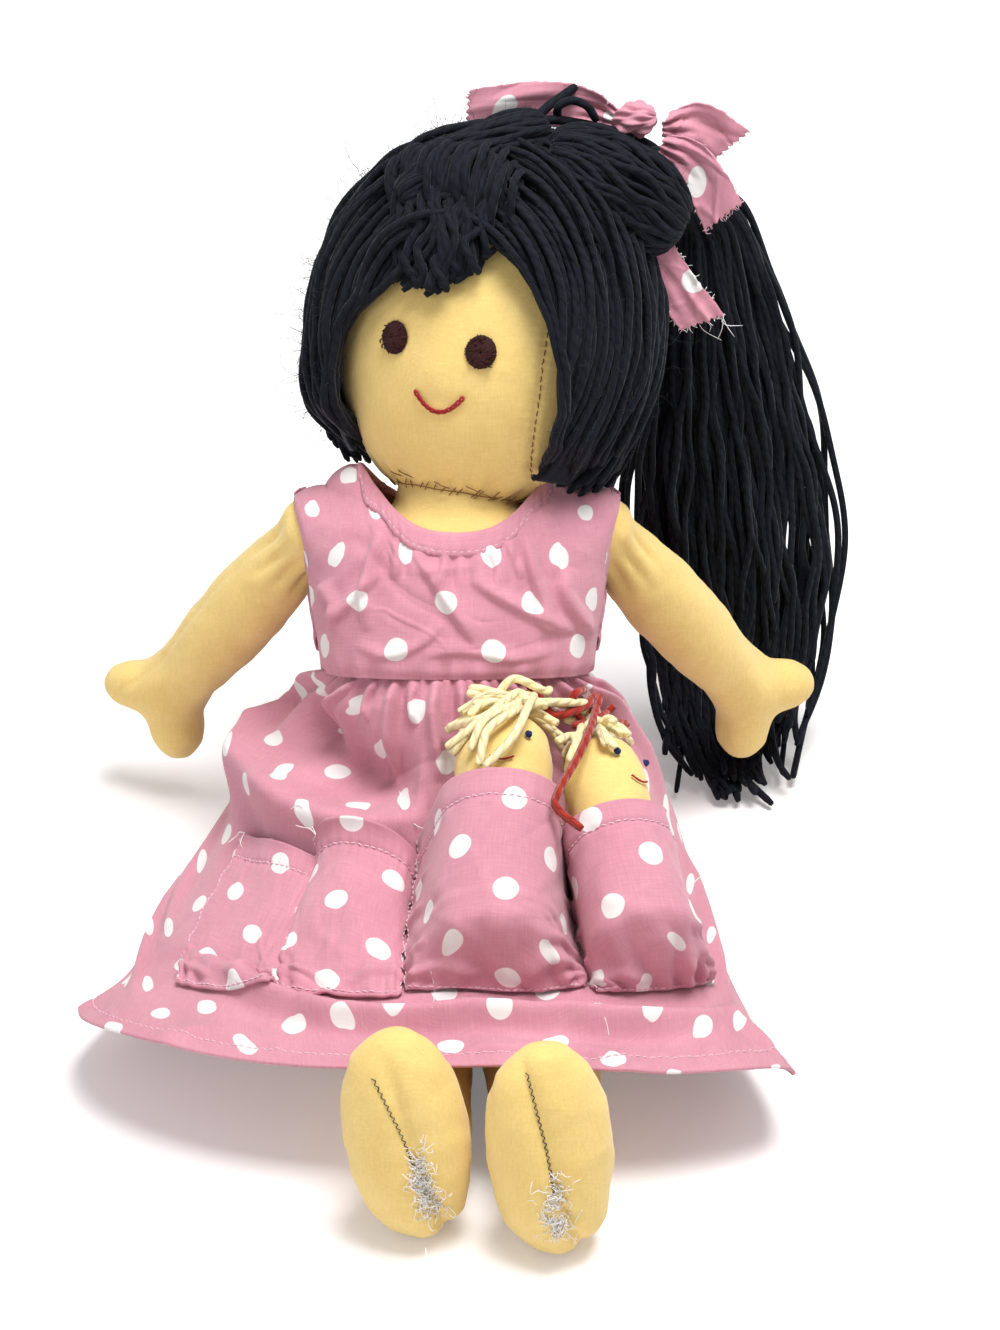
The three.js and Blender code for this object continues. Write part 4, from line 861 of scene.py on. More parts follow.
SKIRT_FOLDS = [
    # Pleats that spread from the waist seam: (turned, share) points, height, width and
    # steeper width
    (
        [
            (-0.8, 0.0), (-0.94, 0.1), (-0.97, 0.22), (-0.8, 0.29), (-0.57, 0.31), (-0.38, 0.325),
            (-0.2, 0.32), (-0.08, 0.29)
        ],
        10.5, 11.0, 4.5
    ),
    ([(-0.78, 0.1), (-0.64, 0.18), (-0.48, 0.225), (-0.3, 0.245), (-0.12, 0.245)], -13.0, 8.0, 9.0),
    ([(-0.56, 0.0), (-0.57, 0.05), (-0.62, 0.12), (-0.6, 0.2)], 3.2, 3.4, 2.2),
    ([(-0.42, 0.0), (-0.42, 0.06), (-0.38, 0.13)], 2.4, 2.6, 1.8),
    ([(-0.31, 0.0), (-0.28, 0.07), (-0.26, 0.19), (-0.24, 0.26)], 3.2, 3.2, 2.0),
    ([(-0.2, 0.0), (-0.2, 0.06), (-0.16, 0.12)], 2.2, 2.4, 1.7),
    ([(-0.09, 0.0), (-0.09, 0.07), (-0.07, 0.15), (-0.05, 0.24)], 3.4, 3.0, 1.9),
    ([(0.03, 0.0), (0.03, 0.07), (0.05, 0.16)], 2.6, 2.6, 1.8),
    ([(0.15, 0.0), (0.14, 0.06), (0.17, 0.14), (0.18, 0.22)], 3.0, 2.8, 1.8),
    ([(0.28, 0.0), (0.29, 0.07), (0.34, 0.17)], 2.8, 2.8, 1.8),
    ([(0.42, 0.0), (0.43, 0.08), (0.5, 0.2), (0.55, 0.33)], 3.6, 3.6, 2.2),
    ([(0.56, 0.0), (0.58, 0.08), (0.66, 0.2), (0.72, 0.32)], 3.8, 3.8, 2.4),
    ([(0.7, 0.0), (0.74, 0.1), (0.84, 0.24), (0.9, 0.42)], 4.6, 4.6, 2.8),
    ([(0.84, 0.0), (0.9, 0.14), (0.95, 0.32)], 3.0, 3.6, 2.4),
    # The tuck that runs along above the hem, and soft folds at the sides
    (
        [
            (-0.66, 0.66), (-0.5, 0.71), (-0.33, 0.765), (-0.15, 0.8), (0.1, 0.785), (0.34, 0.815),
            (0.62, 0.82), (0.9, 0.79)
        ],
        7.0, 4.6, 2.6
    ),
    ([(-0.5, 0.79), (-0.2, 0.86), (0.1, 0.85), (0.4, 0.875), (0.7, 0.87)], -1.6, 6.0, 6.0),
    ([(-0.8, 0.36), (-0.86, 0.5), (-0.8, 0.64)], 3.0, 6.0, 4.0),
    ([(-0.92, 0.5), (-0.9, 0.68), (-0.78, 0.84)], 3.2, 6.0, 3.6),
    ([(0.86, 0.46), (0.9, 0.62), (0.84, 0.78)], 3.6, 6.0, 3.6),
    ([(0.72, 0.8), (0.82, 0.88), (0.86, 0.97)], 2.6, 5.0, 3.4),
    ([(-0.46, 0.86), (-0.52, 0.94), (-0.55, 1.0)], 1.6, 4.5, 3.5),
    ([(0.3, 0.92), (0.34, 0.97), (0.35, 1.0)], 1.2, 5.0, 4.0),
]


BACK_FOLDS = [
    ([(a, 0.0), (a * 1.02, 0.08), (a * 1.04, 0.24 + 0.08 * math.sin(40 * a))], 2.8, 3.0, 2.0)
    for a in (0.02 * math.sin(9 * k) - 0.9 + 1.8 * k / 14 for k in range(15))
]


def skirt_seam(p, turned, share, front):
    """Brings the side edges of a panel to the seam that it shares with the other panel."""
    side = np.where(turned < 0, -1.0, 1.0)
    edges = []
    for panel in (True, False):
        rise = skirt_relief(side, share, panel)
        edges.append(
            skirt_smooth(side, share, panel) + skirt_normal(side, share, panel) * rise[..., None]
        )
    near = ease(np.clip((np.abs(turned) - 0.84) / 0.16, 0, 1))
    return p + near[..., None] * (0.5 * (edges[0] + edges[1]) - edges[0 if front else 1])


def skirt_surface(turned, share, front, fine=True):
    """The cloth of the skirt; fine adds narrow gathers, creases and the puckers of its hem."""
    turned, share = np.broadcast_arrays(np.asarray(turned, float), np.asarray(share, float))
    height = skirt_relief(turned, share, front)
    if fine:
        seam = np.clip((1 - np.abs(turned)) * 11, 0, 1)
        for path, high, wide, steep in SKIRT_FOLDS if front else BACK_FOLDS:
            # The pleats that start at the waist are deeper in front
            lift = high * (1.45 if front and path[0][1] == 0.0 else 1.0)
            path = [(a * SKIRT_SPAN, b * SKIRT_LENGTH) for a, b in path]
            height = (
                height
                + seam * fold(turned * SKIRT_SPAN, share * SKIRT_LENGTH, path, lift, wide, steep)
            )
        near = bell(share, 0.07) * (1 - turned**6)
        phase = 2 * math.pi * 30 * (turned + 1) * 0.5 + 2.2 * np.sin(7 * turned)
        height = height + 0.6 * near * np.sin(phase)
        free = np.clip(share * 8, 0, 1) * np.clip((1 - share) * 14, 0.1, 1) * (1 - turned**8)
        u, v = (turned + 1) / 2, share
        soft = creases(21 if front else 22, 60, u, v, (0.006, 0.02), (0.04, 0.16), 0.8, (0.25, 1.0))
        soft = (
            soft + creases(31 if front else 32, 16, u, v, (0.03, 0.08), (0.1, 0.3), 0.8, (0.4, 1.3))
        )
        height = height + soft * free
        # The hem is folded up and sewn; its edge is a little thicker than the rest
        row = (share - HEM_LINE) * SKIRT_LENGTH
        height = height - 0.55 * bell(row, 1.3) + 0.45 / (1 + np.exp(-row * 2))
        height = height + 0.22 * bell(row, 5) * np.sin(turned * 150 + 3 * np.sin(turned * 21))
    n = skirt_normal(turned, share, front)
    p = skirt_smooth(turned, share, front) + n * height[..., None]
    return (skirt_seam(p, turned, share, front) if fine else p), n


def make_skirt():
    for front in (True, False):
        name = "skirt_front" if front else "skirt_back"
        columns, rows = (361, 221) if front else (221, 131)
        t, s = np.meshgrid(np.linspace(-0.996, 0.996, columns), np.linspace(0.0, 1.0, rows))
        p, _ = skirt_surface(t, s, front)
        p[..., 2] = np.maximum(p[..., 2], 0.65)
        obj = cloth_piece(name + "_cloth", p, dress, None, 1.0)
        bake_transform(obj)
        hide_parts(name)
        if front:
            t = np.linspace(-0.985, 0.985, 500)
            line, normal = skirt_surface(t, 0 * t + HEM_LINE, True)
            sewn_row("hem_stitches", line + normal * 0.55, normal, radius=0.26, wander=0.05)


def on_lap(from_, to_, top, bottom, across, down, fine=True):
    upper = top[0] + (top[1] - top[0]) * across
    turned = from_ + (to_ - from_) * across
    share = upper + (bottom - upper) * down
    p, n = skirt_surface(turned, share, True, fine)
    return p + n * (CLOTH + CLEAR), n


def baby_frame(foot, tilt, lean):
    return shift(*foot) @ turn(-lean, "Z") @ turn(-(90 - tilt), "X")


BED = LAP + CLOTH + CLEAR
BABIES = {
    "baby_1": dict(
        frame=baby_frame((12, -101, BED + 13), 25, 4), length=88.0, radius=17.0, face=0.0
    ),
    "baby_2": dict(
        frame=baby_frame((62, -97, BED + 9.5), 24, -11.5), length=82.0, radius=14.5, face=42.0
    ),
}
BABY_PROFILE = [
    (0, 0.4), (0.04, 0.7), (0.13, 0.92), (0.3, 1), (0.6, 0.95), (0.8, 1), (0.92, 0.84),
    (0.975, 0.55), (1, 0.25)
]
POCKETS = {
    "pocket_1": dict(span=(-0.63, -0.36), top=(0.42, 0.42), bottom=0.76, rise=2.0),
    "pocket_2": dict(span=(-0.35, -0.11), top=(0.38, 0.38), bottom=0.74, rise=14.0),
    "pocket_3": dict(span=(-0.095, 0.3), top=(0.34, 0.38), bottom=0.72, baby="baby_1"),
    "pocket_4": dict(span=(0.325, 0.73), top=(0.45, 0.56), bottom=0.74, baby="baby_2"),
}


def filled_pocket(pocket, u, v):
    """Cloth drawn over a baby, straight from one side seam, round it and down to the other."""
    baby = BABIES[pocket["baby"]]
    fr = baby["frame"]
    down = 1 - (1 - v) ** 1.25
    spot = (*pocket["span"], pocket["top"], pocket["bottom"])
    lowest = back(fr, on_lap(*spot, 0.5, 1.0, False)[0])
    left, right = (back(fr, on_lap(*spot, 0 * down + side, down, False)[0]) for side in (0, 1))
    z = (left[..., 2] + right[..., 2]) / 2
    short = np.clip(-z / (0.5 - lowest[..., 2]), 0, 1)
    fall = np.sqrt(1 - short**2)
    radius = np.maximum(0.5, (baby["radius"] + CLEAR + 1.6 + CLOTH / 2) * fall)
    mid = (left + right) / 2 * (1 - fall)[..., None]

    def bearing(p, way):
        away = np.hypot(p[..., 0] - mid[..., 0], p[..., 1] - mid[..., 1])
        b = np.arctan2(mid[..., 1] - p[..., 1], p[..., 0] - mid[..., 0])
        return b + way * np.arccos(np.minimum(1, radius / away))

    first = bearing(left, -1)
    first = np.where(first < 0, first + 2 * math.pi, first)
    last = bearing(right, 1)

    def arc(angle):
        return np.stack(
            [mid[..., 0] + radius * np.cos(angle), mid[..., 1] - radius * np.sin(angle), 0 * angle],
            -1
        )

    # The cloth sinks in a little between the seam and the baby
    a = left + (arc(first) - left) * (u / 0.25)[..., None]
    c = right + (arc(last) - right) * ((1 - u) / 0.25)[..., None]
    b = arc(first + (last - first) * (u - 0.25) / 0.5)
    p = np.where((u < 0.25)[..., None], a, np.where((u > 0.75)[..., None], c, b))
    p[..., 2] = left[..., 2] + (right[..., 2] - left[..., 2]) * u
    p = to(fr, p)
    # Its lower end is sewn flat to the lap
    lap, _ = on_lap(*spot, (1 - np.cos(math.pi * u)) / 2, down)
    close = ease(np.clip((v - 0.74) / 0.26, 0, 1))
    p = p + (lap - p) * close[..., None]
    q = back(fr, p)
    for _ in range(4):
        height = np.clip(q[..., 2], 0, baby["length"])
        need = baby["radius"] * smooth_through(BABY_PROFILE, height / baby["length"]) + 1.3
        reach = np.hypot(q[..., 0], q[..., 1])
        inside = (reach < need) & (q[..., 1] < 2) & (q[..., 2] > 0)
        grow = np.where(inside, need / np.maximum(reach, 0.5), 1)
        q[..., :2] *= grow[..., None]
        for _ in range(4):
            q[1:-1, 1:-1] = (q[:-2, 1:-1] + q[2:, 1:-1] + q[1:-1, :-2] + q[1:-1, 2:]) / 4
    return to(fr, q)


def empty_pocket(pocket, u, v):
    across = (1 - np.cos(math.pi * u)) / 2
    p, _ = on_lap(*pocket["span"], pocket["top"], pocket["bottom"], across, v)
    middle = (pocket["span"][0] + pocket["span"][1]) / 2
    _, out = skirt_surface(middle, pocket["bottom"], True, False)
    rise = pocket["rise"] * (1 - v) ** 0.8 * np.sin(math.pi * u)
    return p + out * rise[..., None]


POCKET_FOLDS = [
    # Creases that spread from the lower corners and from pulled places in the side seams
    ([(0.0, 0.93), (0.14, 0.87), (0.32, 0.88), (0.46, 0.93)], 2.2, 2.0, 1.2),
    ([(1.0, 0.9), (0.86, 0.84), (0.68, 0.87), (0.56, 0.94)], 2.4, 2.0, 1.2),
    ([(0.0, 0.8), (0.1, 0.74), (0.2, 0.74)], 1.4, 1.8, 1.2),
    ([(1.0, 0.97), (0.9, 0.9), (0.74, 0.94)], 2.0, 1.6, 1.0),
    ([(1.0, 0.78), (0.9, 0.74), (0.8, 0.75), (0.7, 0.8)], 1.8, 1.6, 1.1),
    ([(0.2, 1.0), (0.24, 0.94), (0.22, 0.88)], 1.6, 1.5, 1.0),
    ([(0.66, 1.0), (0.62, 0.93), (0.66, 0.87)], 1.5, 1.5, 1.0),
    ([(0.0, 0.3), (0.09, 0.32), (0.18, 0.3)], 1.0, 1.5, 1.0),
    ([(0.0, 0.45), (0.08, 0.48), (0.15, 0.47)], 0.9, 1.5, 1.0),
    ([(1.0, 0.4), (0.92, 0.42), (0.85, 0.41)], 0.9, 1.5, 1.0),
]


# Width and length of a pocket for its folds, and how far down its hem is sewn
POCKET_SPAN, POCKET_LENGTH, POCKET_HEM = 40, 64, 8.5


def pocket_relief(k, filled, u, v):
    """Creases, puckers and the sewn hem of a pocket, as heights over its patch."""
    edge = np.minimum(np.minimum(u, 1 - u) * 9, 1)
    low = bell(1 - v, 0.2) * np.clip((1 - v) * 30, 0.3, 1)
    wave = np.sin(u * 2 * math.pi * 6.2 + 2.4 * np.sin(5 * u + k) + 2 * v)
    bunch = (1.1 if filled else 0.8) * low * wave * edge
    soft = creases(40 + k, 26, u, v, (0.015, 0.045), (0.08, 0.3), 0.7, (0.15, 0.7))
    if filled:
        sag = creases(50 + k, 7, v, u, (0.03, 0.06), (0.2, 0.5), 0.5, (0.5, 1.4))
        soft = soft + sag * np.clip((v - 0.45) * 3, 0, 1)
    soft = soft * edge * np.clip(v * 7, 0, 1) * np.clip((1 - v) * 6, 0, 1)
    sides = bell(np.minimum(u, 1 - u), 0.05) * np.sin(v * 46 + 3 * np.sin(7 * v)) * 0.5
    past = v * POCKET_LENGTH - POCKET_HEM
    hem = -0.55 * bell(past, 1.1) + 0.5 / (1 + np.exp(past * 2))
    hem = hem + 0.2 * bell(past, 4) * np.sin(u * 90 + 2 * np.sin(11 * u))
    pulls = 0
    for path, high, wide, steep in POCKET_FOLDS if filled else POCKET_FOLDS[:3]:
        path = [(a * POCKET_SPAN, b * POCKET_LENGTH) for a, b in path]
        pulls = pulls + fold(u * POCKET_SPAN, v * POCKET_LENGTH, path, high, wide, steep)
    return np.maximum(bunch + soft + sides + hem + pulls + 0.5, 0.0)


def make_pockets():
    loose = []
    for k, (name, pocket) in enumerate(POCKETS.items()):
        filled = "baby" in pocket
        u, v = grid(121, 101)
        p = (filled_pocket if filled else empty_pocket)(pocket, u, v)
        n = unit(np.cross(np.gradient(p, axis=1), np.gradient(p, axis=0)))
        n = -n if np.mean(n[..., 2]) < 0 else n
        q = p + n * pocket_relief(k, filled, u, v)[..., None]
        obj = cloth_piece(
            name + "_cloth", q, dress, "skirt", 1.0, moved=(11.0 * k + 5, 7.0 * k + 3)
        )
        # A filled pocket, with all its rows of stitches but the bottom one, gets a mesh of its own
        flattens = [obj] if filled else []
        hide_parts(name)
        # Rows of machine stitches: the hem, the two sides and the bottom
        hem_row = int(round(POCKET_HEM / POCKET_LENGTH * (len(q) - 1)))
        rows = {
            "hem": (hem_row, slice(2, -2)), "bottom": (-3, slice(1, -1)), "right": (slice(1, -1), 2)
        }
        if k in (1, 3):
            rows["left"] = (slice(1, -1), -3)
        for word, at in rows.items():
            row = sewn_row(f"{name}_{word}_stitches", q[at] + n[at] * 0.5, n[at], wander=0.12)
            if filled and word != "bottom":
                flattens.append(row)
        for piece in flattens:
            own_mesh(piece)
        loose.append(q[0, 2] if k in (0, 1) else q[0, -3])
    # Ends of thread left hanging at the corners
    r = np.random.default_rng(64)
    runs = []
    up = np.array([0, 0, 1.0])
    for corner in loose:
        for _ in range(2):
            d = unit(r.normal(size=3) * [1, 1, 0.2])
            size = r.uniform(5, 11)
            far = corner + d * size * 0.7 + up * 3 + r.normal(size=3)
            run = [
                corner - d, corner + d * size * 0.3 + up * 2.5, far, corner + d * size + up * 1.2
            ]
            runs.append(spline(run, 16))
    tubes("pocket_loose_threads", runs, 0.2, white_thread, "skirt", 4, taper=0.6)


# Stuffed pieces: each starts from its solid, is blown up as sewn cloth (all but the babies) and
# gets its lumps


def evaluated_mesh(obj):
    bpy.context.view_layer.update()
    depsgraph = bpy.context.evaluated_depsgraph_get()
    mesh = bpy.data.meshes.new_from_object(obj.evaluated_get(depsgraph))
    old = obj.data
    obj.modifiers.clear()
    obj.data = mesh
    bpy.data.meshes.remove(old)


def vertices_of(mesh):
    co = np.empty(len(mesh.vertices) * 3)
    mesh.vertices.foreach_get("co", co)
    return co.reshape(-1, 3)


def set_vertices(mesh, co):
    mesh.vertices.foreach_set("co", np.asarray(co, np.float32).ravel())
    mesh.update()


def normals_of(mesh):
    n = np.empty(len(mesh.vertices) * 3)
    mesh.vertices.foreach_get("normal", n)
    return n.reshape(-1, 3)


def noise_at(points, scale, seed=0.0):
    shift_ = Vector((seed * 3.1, seed * 1.7, seed * 2.3))
    return np.array([noise.noise(Vector(p) * scale + shift_) for p in points])


def stuffed_copy(name, voxel, rounds, extra=None):
    """The solid's form, with extra balls joined on, as one even mesh of small faces."""
    source = frame["nodes"][name]
    mesh = source.data.copy()
    mesh.transform(source.matrix_world)
    build = bmesh.new()
    build.from_mesh(mesh)
    for centre, radius in extra or []:
        place = Matrix.Translation(Vector(np.asarray(centre, float) * MM))
        bmesh.ops.create_icosphere(build, subdivisions=4, radius=radius * MM, matrix=place)
    build.to_mesh(mesh)
    build.free()
    mesh.materials.clear()
    obj = bpy.data.objects.new(name + "_stuffed", mesh)
    bpy.context.scene.collection.objects.link(obj)
    remesh = obj.modifiers.new("remesh", "REMESH")
    remesh.mode = "VOXEL"
    remesh.voxel_size = voxel * MM
    remesh.use_smooth_shade = True
    smooth = obj.modifiers.new("smooth", "SMOOTH")
    smooth.iterations = rounds
    smooth.factor = 0.6
    evaluated_mesh(obj)
    return obj


# Frames of cloth simulation for each stuffed piece
BLOW_FRAMES = 16


def blow_up(obj, pressure, cap):
    """Sewn cloth filled from inside; no point moves further than the cap, in millimetres."""
    before = vertices_of(obj.data).copy()
    cloth_mod = obj.modifiers.new("cloth", "CLOTH")
    settings = cloth_mod.settings
    values = {
        "quality": 6,
        "mass": 0.15,
        "tension_stiffness": 12,
        "compression_stiffness": 8,
        "shear_stiffness": 5,
        "bending_stiffness": 0.35,
        "use_pressure": True,
        "uniform_pressure_force": pressure,
    }
    for key, value in values.items():
        setattr(settings, key, value)
    settings.effector_weights.gravity = 0
    scene = bpy.context.scene
    for step in range(1, BLOW_FRAMES + 1):
        scene.frame_set(step)
    evaluated_mesh(obj)
    scene.frame_set(1)
    after = vertices_of(obj.data)
    if len(after) != len(before):
        raise RuntimeError(obj.name + " changed its points while it was blown up")
    move = after - before
    length = np.linalg.norm(move, axis=1, keepdims=True)
    limit = cap * MM
    move *= np.minimum(1, limit / np.maximum(length, 1e-9))
    set_vertices(obj.data, before + move)


def finish_stuffed(obj, body, lumps, seed, relief=None):
    """Gives a stuffed piece its lumps, relief and cloth and puts it in place of its solid."""
    sub = obj.modifiers.new("fine", "SUBSURF")
    sub.levels = sub.render_levels = 1
    evaluated_mesh(obj)
    mesh = obj.data
    co = vertices_of(mesh)
    n = normals_of(mesh)
    height = lumps * (noise_at(co, 70, seed) + 0.6 * noise_at(co, 170, seed + 5))
    if relief is not None:
        height = height + relief(co / MM)
    set_vertices(mesh, co + n * height[:, None] * MM)
    mesh.polygons.foreach_set("use_smooth", [True] * len(mesh.polygons))
    mesh.materials.clear()
    mesh.materials.append(skin)
    obj.name = body + "_soft"
    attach(obj, body)
    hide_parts(body)


def arm_axis(side):
    out, down = math.sin(math.radians(33)), math.cos(math.radians(33))
    b = math.radians(46)
    return np.array([side * out, down * math.sin(b), -down * math.cos(b)])


def make_arms():
    for side, name in ((-1, "arm_right"), (1, "arm_left")):
        axis = UPPER[:3, :3] @ arm_axis(side)
        start = to(UPPER, (side * 49.0, 0, 105.0))
        across = unit(np.cross(axis, [0, 0, 1.0]))
        up = np.cross(across, axis)

        def relief(p):
            d = p - start
            s = d @ axis
            angle = np.arctan2(d @ up, d @ across)
            near = bell(s - 14, 9)
            gathers = -1.7 * near * (
                0.5 + 0.5 * np.sin(angle * 9 + 1.2 * np.sin(angle * 2) + 0.1 * s)
            ) ** 2
            wrist = bell(s - 96, 10)
            folds = 0.4 * wrist * np.sin(angle * 5 + 1 + s * 0.12)
            notch = 0.25 * np.sin(s * 0.35 + 2 * np.sin(angle)) * bell(s - 60, 30) * 0.5
            seam = -0.6 * bell((angle - 2.2) * 14, 1.2)
            inside = -1.3 * np.clip((2 - s) / 6, 0, 1)
            return gathers + folds + seam + notch + inside

        obj = stuffed_copy(name, 2.6, 6, [(start, 13.6)])
        blow_up(obj, 3.0, 1.4)
        finish_stuffed(obj, name, 0.5, 2.0 + side, relief)


def foot_relief(side):
    def relief(p):
        # The sole's seam runs up the front of the foot
        x0 = side * 21.0 - math.tan(math.radians(3.5)) * (-184 + 4)
        height = p[:, 2]
        middle = x0 - (height - 35) * 0.3
        across = p[:, 0] - middle
        front = np.clip((-p[:, 1] - 166) / 6, 0, 1)
        groove = -1.3 * bell(across, 2.0) * front * np.clip((74 - height) / 8, 0, 1)
        sides = 0.9 * bell(np.abs(across) - 7, 5) * front
        heel = -0.6 * np.exp(
            -(((height - 24) / 9) ** 2) - ((across / 5) ** 2)
        ) * front * (1 + np.sin(across * 0.9 + height * 0.6))
        return groove + sides + heel

    return relief


def make_legs():
    for side, name in ((-1, "leg_right"), (1, "leg_left")):
        obj = stuffed_copy(name, 2.8, 5)
        blow_up(obj, 3.0, 1.2)
        finish_stuffed(obj, name, 0.55, 6.0 + side, foot_relief(side))


def make_torso():
    def relief(p):
        height = back(UPPER, p)[:, 2]
        return -1.7 * np.clip((101 - height) / 6, 0, 1) - 13.0 * np.clip((58 - height) / 14, 0, 1)

    obj = stuffed_copy("torso", 3.2, 4)
    blow_up(obj, 2.0, 0.3)
    finish_stuffed(obj, "torso", 0.15, 9.0, relief)


# How far the centres of the face's threads lie over a baby's cloth
THREAD_LIFT = 0.4


def baby_point(name, angle, height):
    b = BABIES[name]
    radius = b["radius"] * smooth_through(BABY_PROFILE, height / b["length"]) + THREAD_LIFT
    a = math.radians(b["face"]) + angle
    return np.stack([radius * np.sin(a), -radius * np.cos(a), height + 0 * a], -1)


def make_babies():
    for k, name in enumerate(BABIES):
        obj = stuffed_copy(name, 1.8, 3)
        finish_stuffed(obj, name, 0.3, 12.0 + k)


# Head and face, in the head's frame


def on_face(x, z, margin=0.0):
    wide = x / (HEAD[0] + margin)
    high = (z - HEAD_MID[2]) / (HEAD[2] + margin)
    deep = np.sqrt(np.maximum(0, 1 - wide**2 - high**2))
    return np.stack([x + 0 * deep, -(HEAD[1] + margin) * deep, z + 0 * deep], -1)


def pressed_on_head(p):
    """Where a point comes to lie when it is pressed on the plain head."""
    away = p - HEAD_MID
    return HEAD_MID + away / np.sqrt(np.sum((away / HEAD) ** 2))


def face_normal(p):
    return unit((np.asarray(p, float) - HEAD_MID) / HEAD**2)


def seam_across(z):
    """How far to the doll's left the face's side seam runs at each height."""
    return 33.4 - 3.4 * np.clip((42 - z) / 30, 0, 1) ** 1.5


def make_head():
    rows, columns = 170, 240
    _, f, unit_p = ball_grid(rows, columns, 0.02, math.pi - 0.42)
    p = unit_p * HEAD + HEAD_MID
    n = face_normal(p)
    flat = unit_p.reshape(-1, 3)
    lump = (
        0.55 * noise_at(flat, 2.2, 1.0) + 0.3 * noise_at(flat, 6.0, 2.0)
        + 0.12 * noise_at(flat, 17.0, 3.0)
    )
    lump = lump.reshape(f.shape)
    x, z = p[..., 0], p[..., 2]
    front = p[..., 1] < 6
    across = x - seam_across(z)
    groove = -0.6 * bell(across, 0.9) * front
    puckers = 0.16 * bell(across, 4.5) * np.sin(z * 2 * math.pi / 3.0) * front
    eyes = sum(
        -0.55 * np.exp(-(((x - e[0]) / 6.4) ** 2) - (((z - e[1]) / 6.8) ** 2))
        for e in EYES.values()
    ) * front
    mouth = -0.5 * np.exp(-(((x - 1.5) / 9) ** 2) - (((z - 31) / 3.2) ** 2)) * front
    # Folds where the head is gathered in to the neck
    turned = np.arctan2(p[..., 1], p[..., 0])
    gather = 0.5 * bell(z - 5, 5) * np.sin(turned * 19 + 1.5 * np.sin(turned * 5))
    p = p + n * (lump + groove + puckers + eyes + mouth + gather)[..., None]
    low = p[-1].mean(0)
    pts = np.vstack([p.reshape(-1, 3), low[None], (HEAD_MID + [0, 0, HEAD[2]])[None]])
    faces = grid_faces(rows, columns, True)
    last = (rows - 1) * columns
    faces += [[last + (i + 1) % columns, last + i, len(pts) - 2] for i in range(columns)]
    faces += [[i, (i + 1) % columns, len(pts) - 1] for i in range(columns)]
    obj = mesh_object("head_soft", to(HEADF, pts), faces, skin, "head")
    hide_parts("head")
    z = np.linspace(9, 92, 70)
    line = on_face(seam_across(z), z, -0.25)
    normal = face_normal(line) @ HEADF[:3, :3].T
    stitch_row(
        "face_seam", to(HEADF, line), normal, 3.0, 0.24, seam_thread, "head", 0.15
    )


def face_frame(x, z):
    c = on_face(np.array(x, float), np.array(z, float))
    n = face_normal(c)
    right = unit(np.cross([0, 0, 1.0], -n))
    right = right if right[0] > 0 else -right
    up = np.cross(n, right)
    up = up if up[2] > 0 else -up
    return c, n, right, up


EYES = {-1: (-17.0, 50.2), 1: (14.3, 49.6)}


def make_eyes():
    """Round pads of closely laid thread with the whorl and loose loops of hand stitching."""
    for side, name in ((-1, "eye_right"), (1, "eye_left")):
        r = np.random.default_rng(60 + side)
        c, n, right, up = face_frame(*EYES[side])

        def spot(rad, ang, tall=1.08):
            return c + right * rad * math.cos(ang) + up * rad * tall * math.sin(ang)

        runs = []
        for layer in range(3):
            for turn_ in np.linspace(0, 2 * math.pi, 58, endpoint=False):
                t = turn_ + r.normal(0, 0.05)
                inner = r.uniform(0.2, 1.4)
                outer = r.uniform(4.8, 5.7) - 0.35 * layer
                swirl = 0.5 + 0.12 * r.normal()
                pts = []
                for s in np.linspace(0, 1, 6):
                    rad = inner + (outer - inner) * s
                    dome = 0.5 + 0.95 * (1 - (rad / 5.9) ** 2) + 0.22 * layer
                    on = pressed_on_head(spot(rad, t + swirl * s))
                    pts.append(on + n * (dome * (0.25 if s > 0.97 else 1)))
                runs.append(np.array(pts))
        for _ in range(26):
            # Loops and ends that stand out of the pad
            t, rad = r.uniform(0, 2 * math.pi), r.uniform(1, 5.0)
            base = pressed_on_head(spot(rad, t, 1.0)) + n * 0.9
            way = right * math.cos(t + 1) + up * math.sin(t + 1)
            size = r.uniform(0.7, 1.5)
            run = [base, base + way * size * 0.6 + n * size, base + way * size * 1.5 + n * 0.3]
            runs.append(spline(run, 8))
        strands = all_to(HEADF, runs)
        obj = tubes(
            name + "_thread", strands, 0.26, brown_thread, "head", 5, taper=0.5
        )
        # The felt-like ground under the stitches
        ring = []
        rows, cols = 8, 36
        for i in range(rows):
            for j in range(cols):
                rad = 5.3 * (i + 0.3) / (rows - 0.7)
                high = 0.75 * (1 - (rad / 5.5) ** 4) + 0.1 * r.normal() * (i < rows - 1)
                ring.append(pressed_on_head(spot(rad, 2 * math.pi * j / cols)) + n * high)
        faces = grid_faces(rows, cols, True) + [list(range(cols))[::-1]]
        uv = np.array(ring)[:, :2]
        mesh_object(
            name + "_pad", to(HEADF, ring), faces, brown_thread, "head", uv
        )
        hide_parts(name)


# Half the width and the depth of the smile, and its number of chain stitches
SMILE_HALF, SMILE_DEPTH, SMILE_LINKS = 8.5, 6, 11


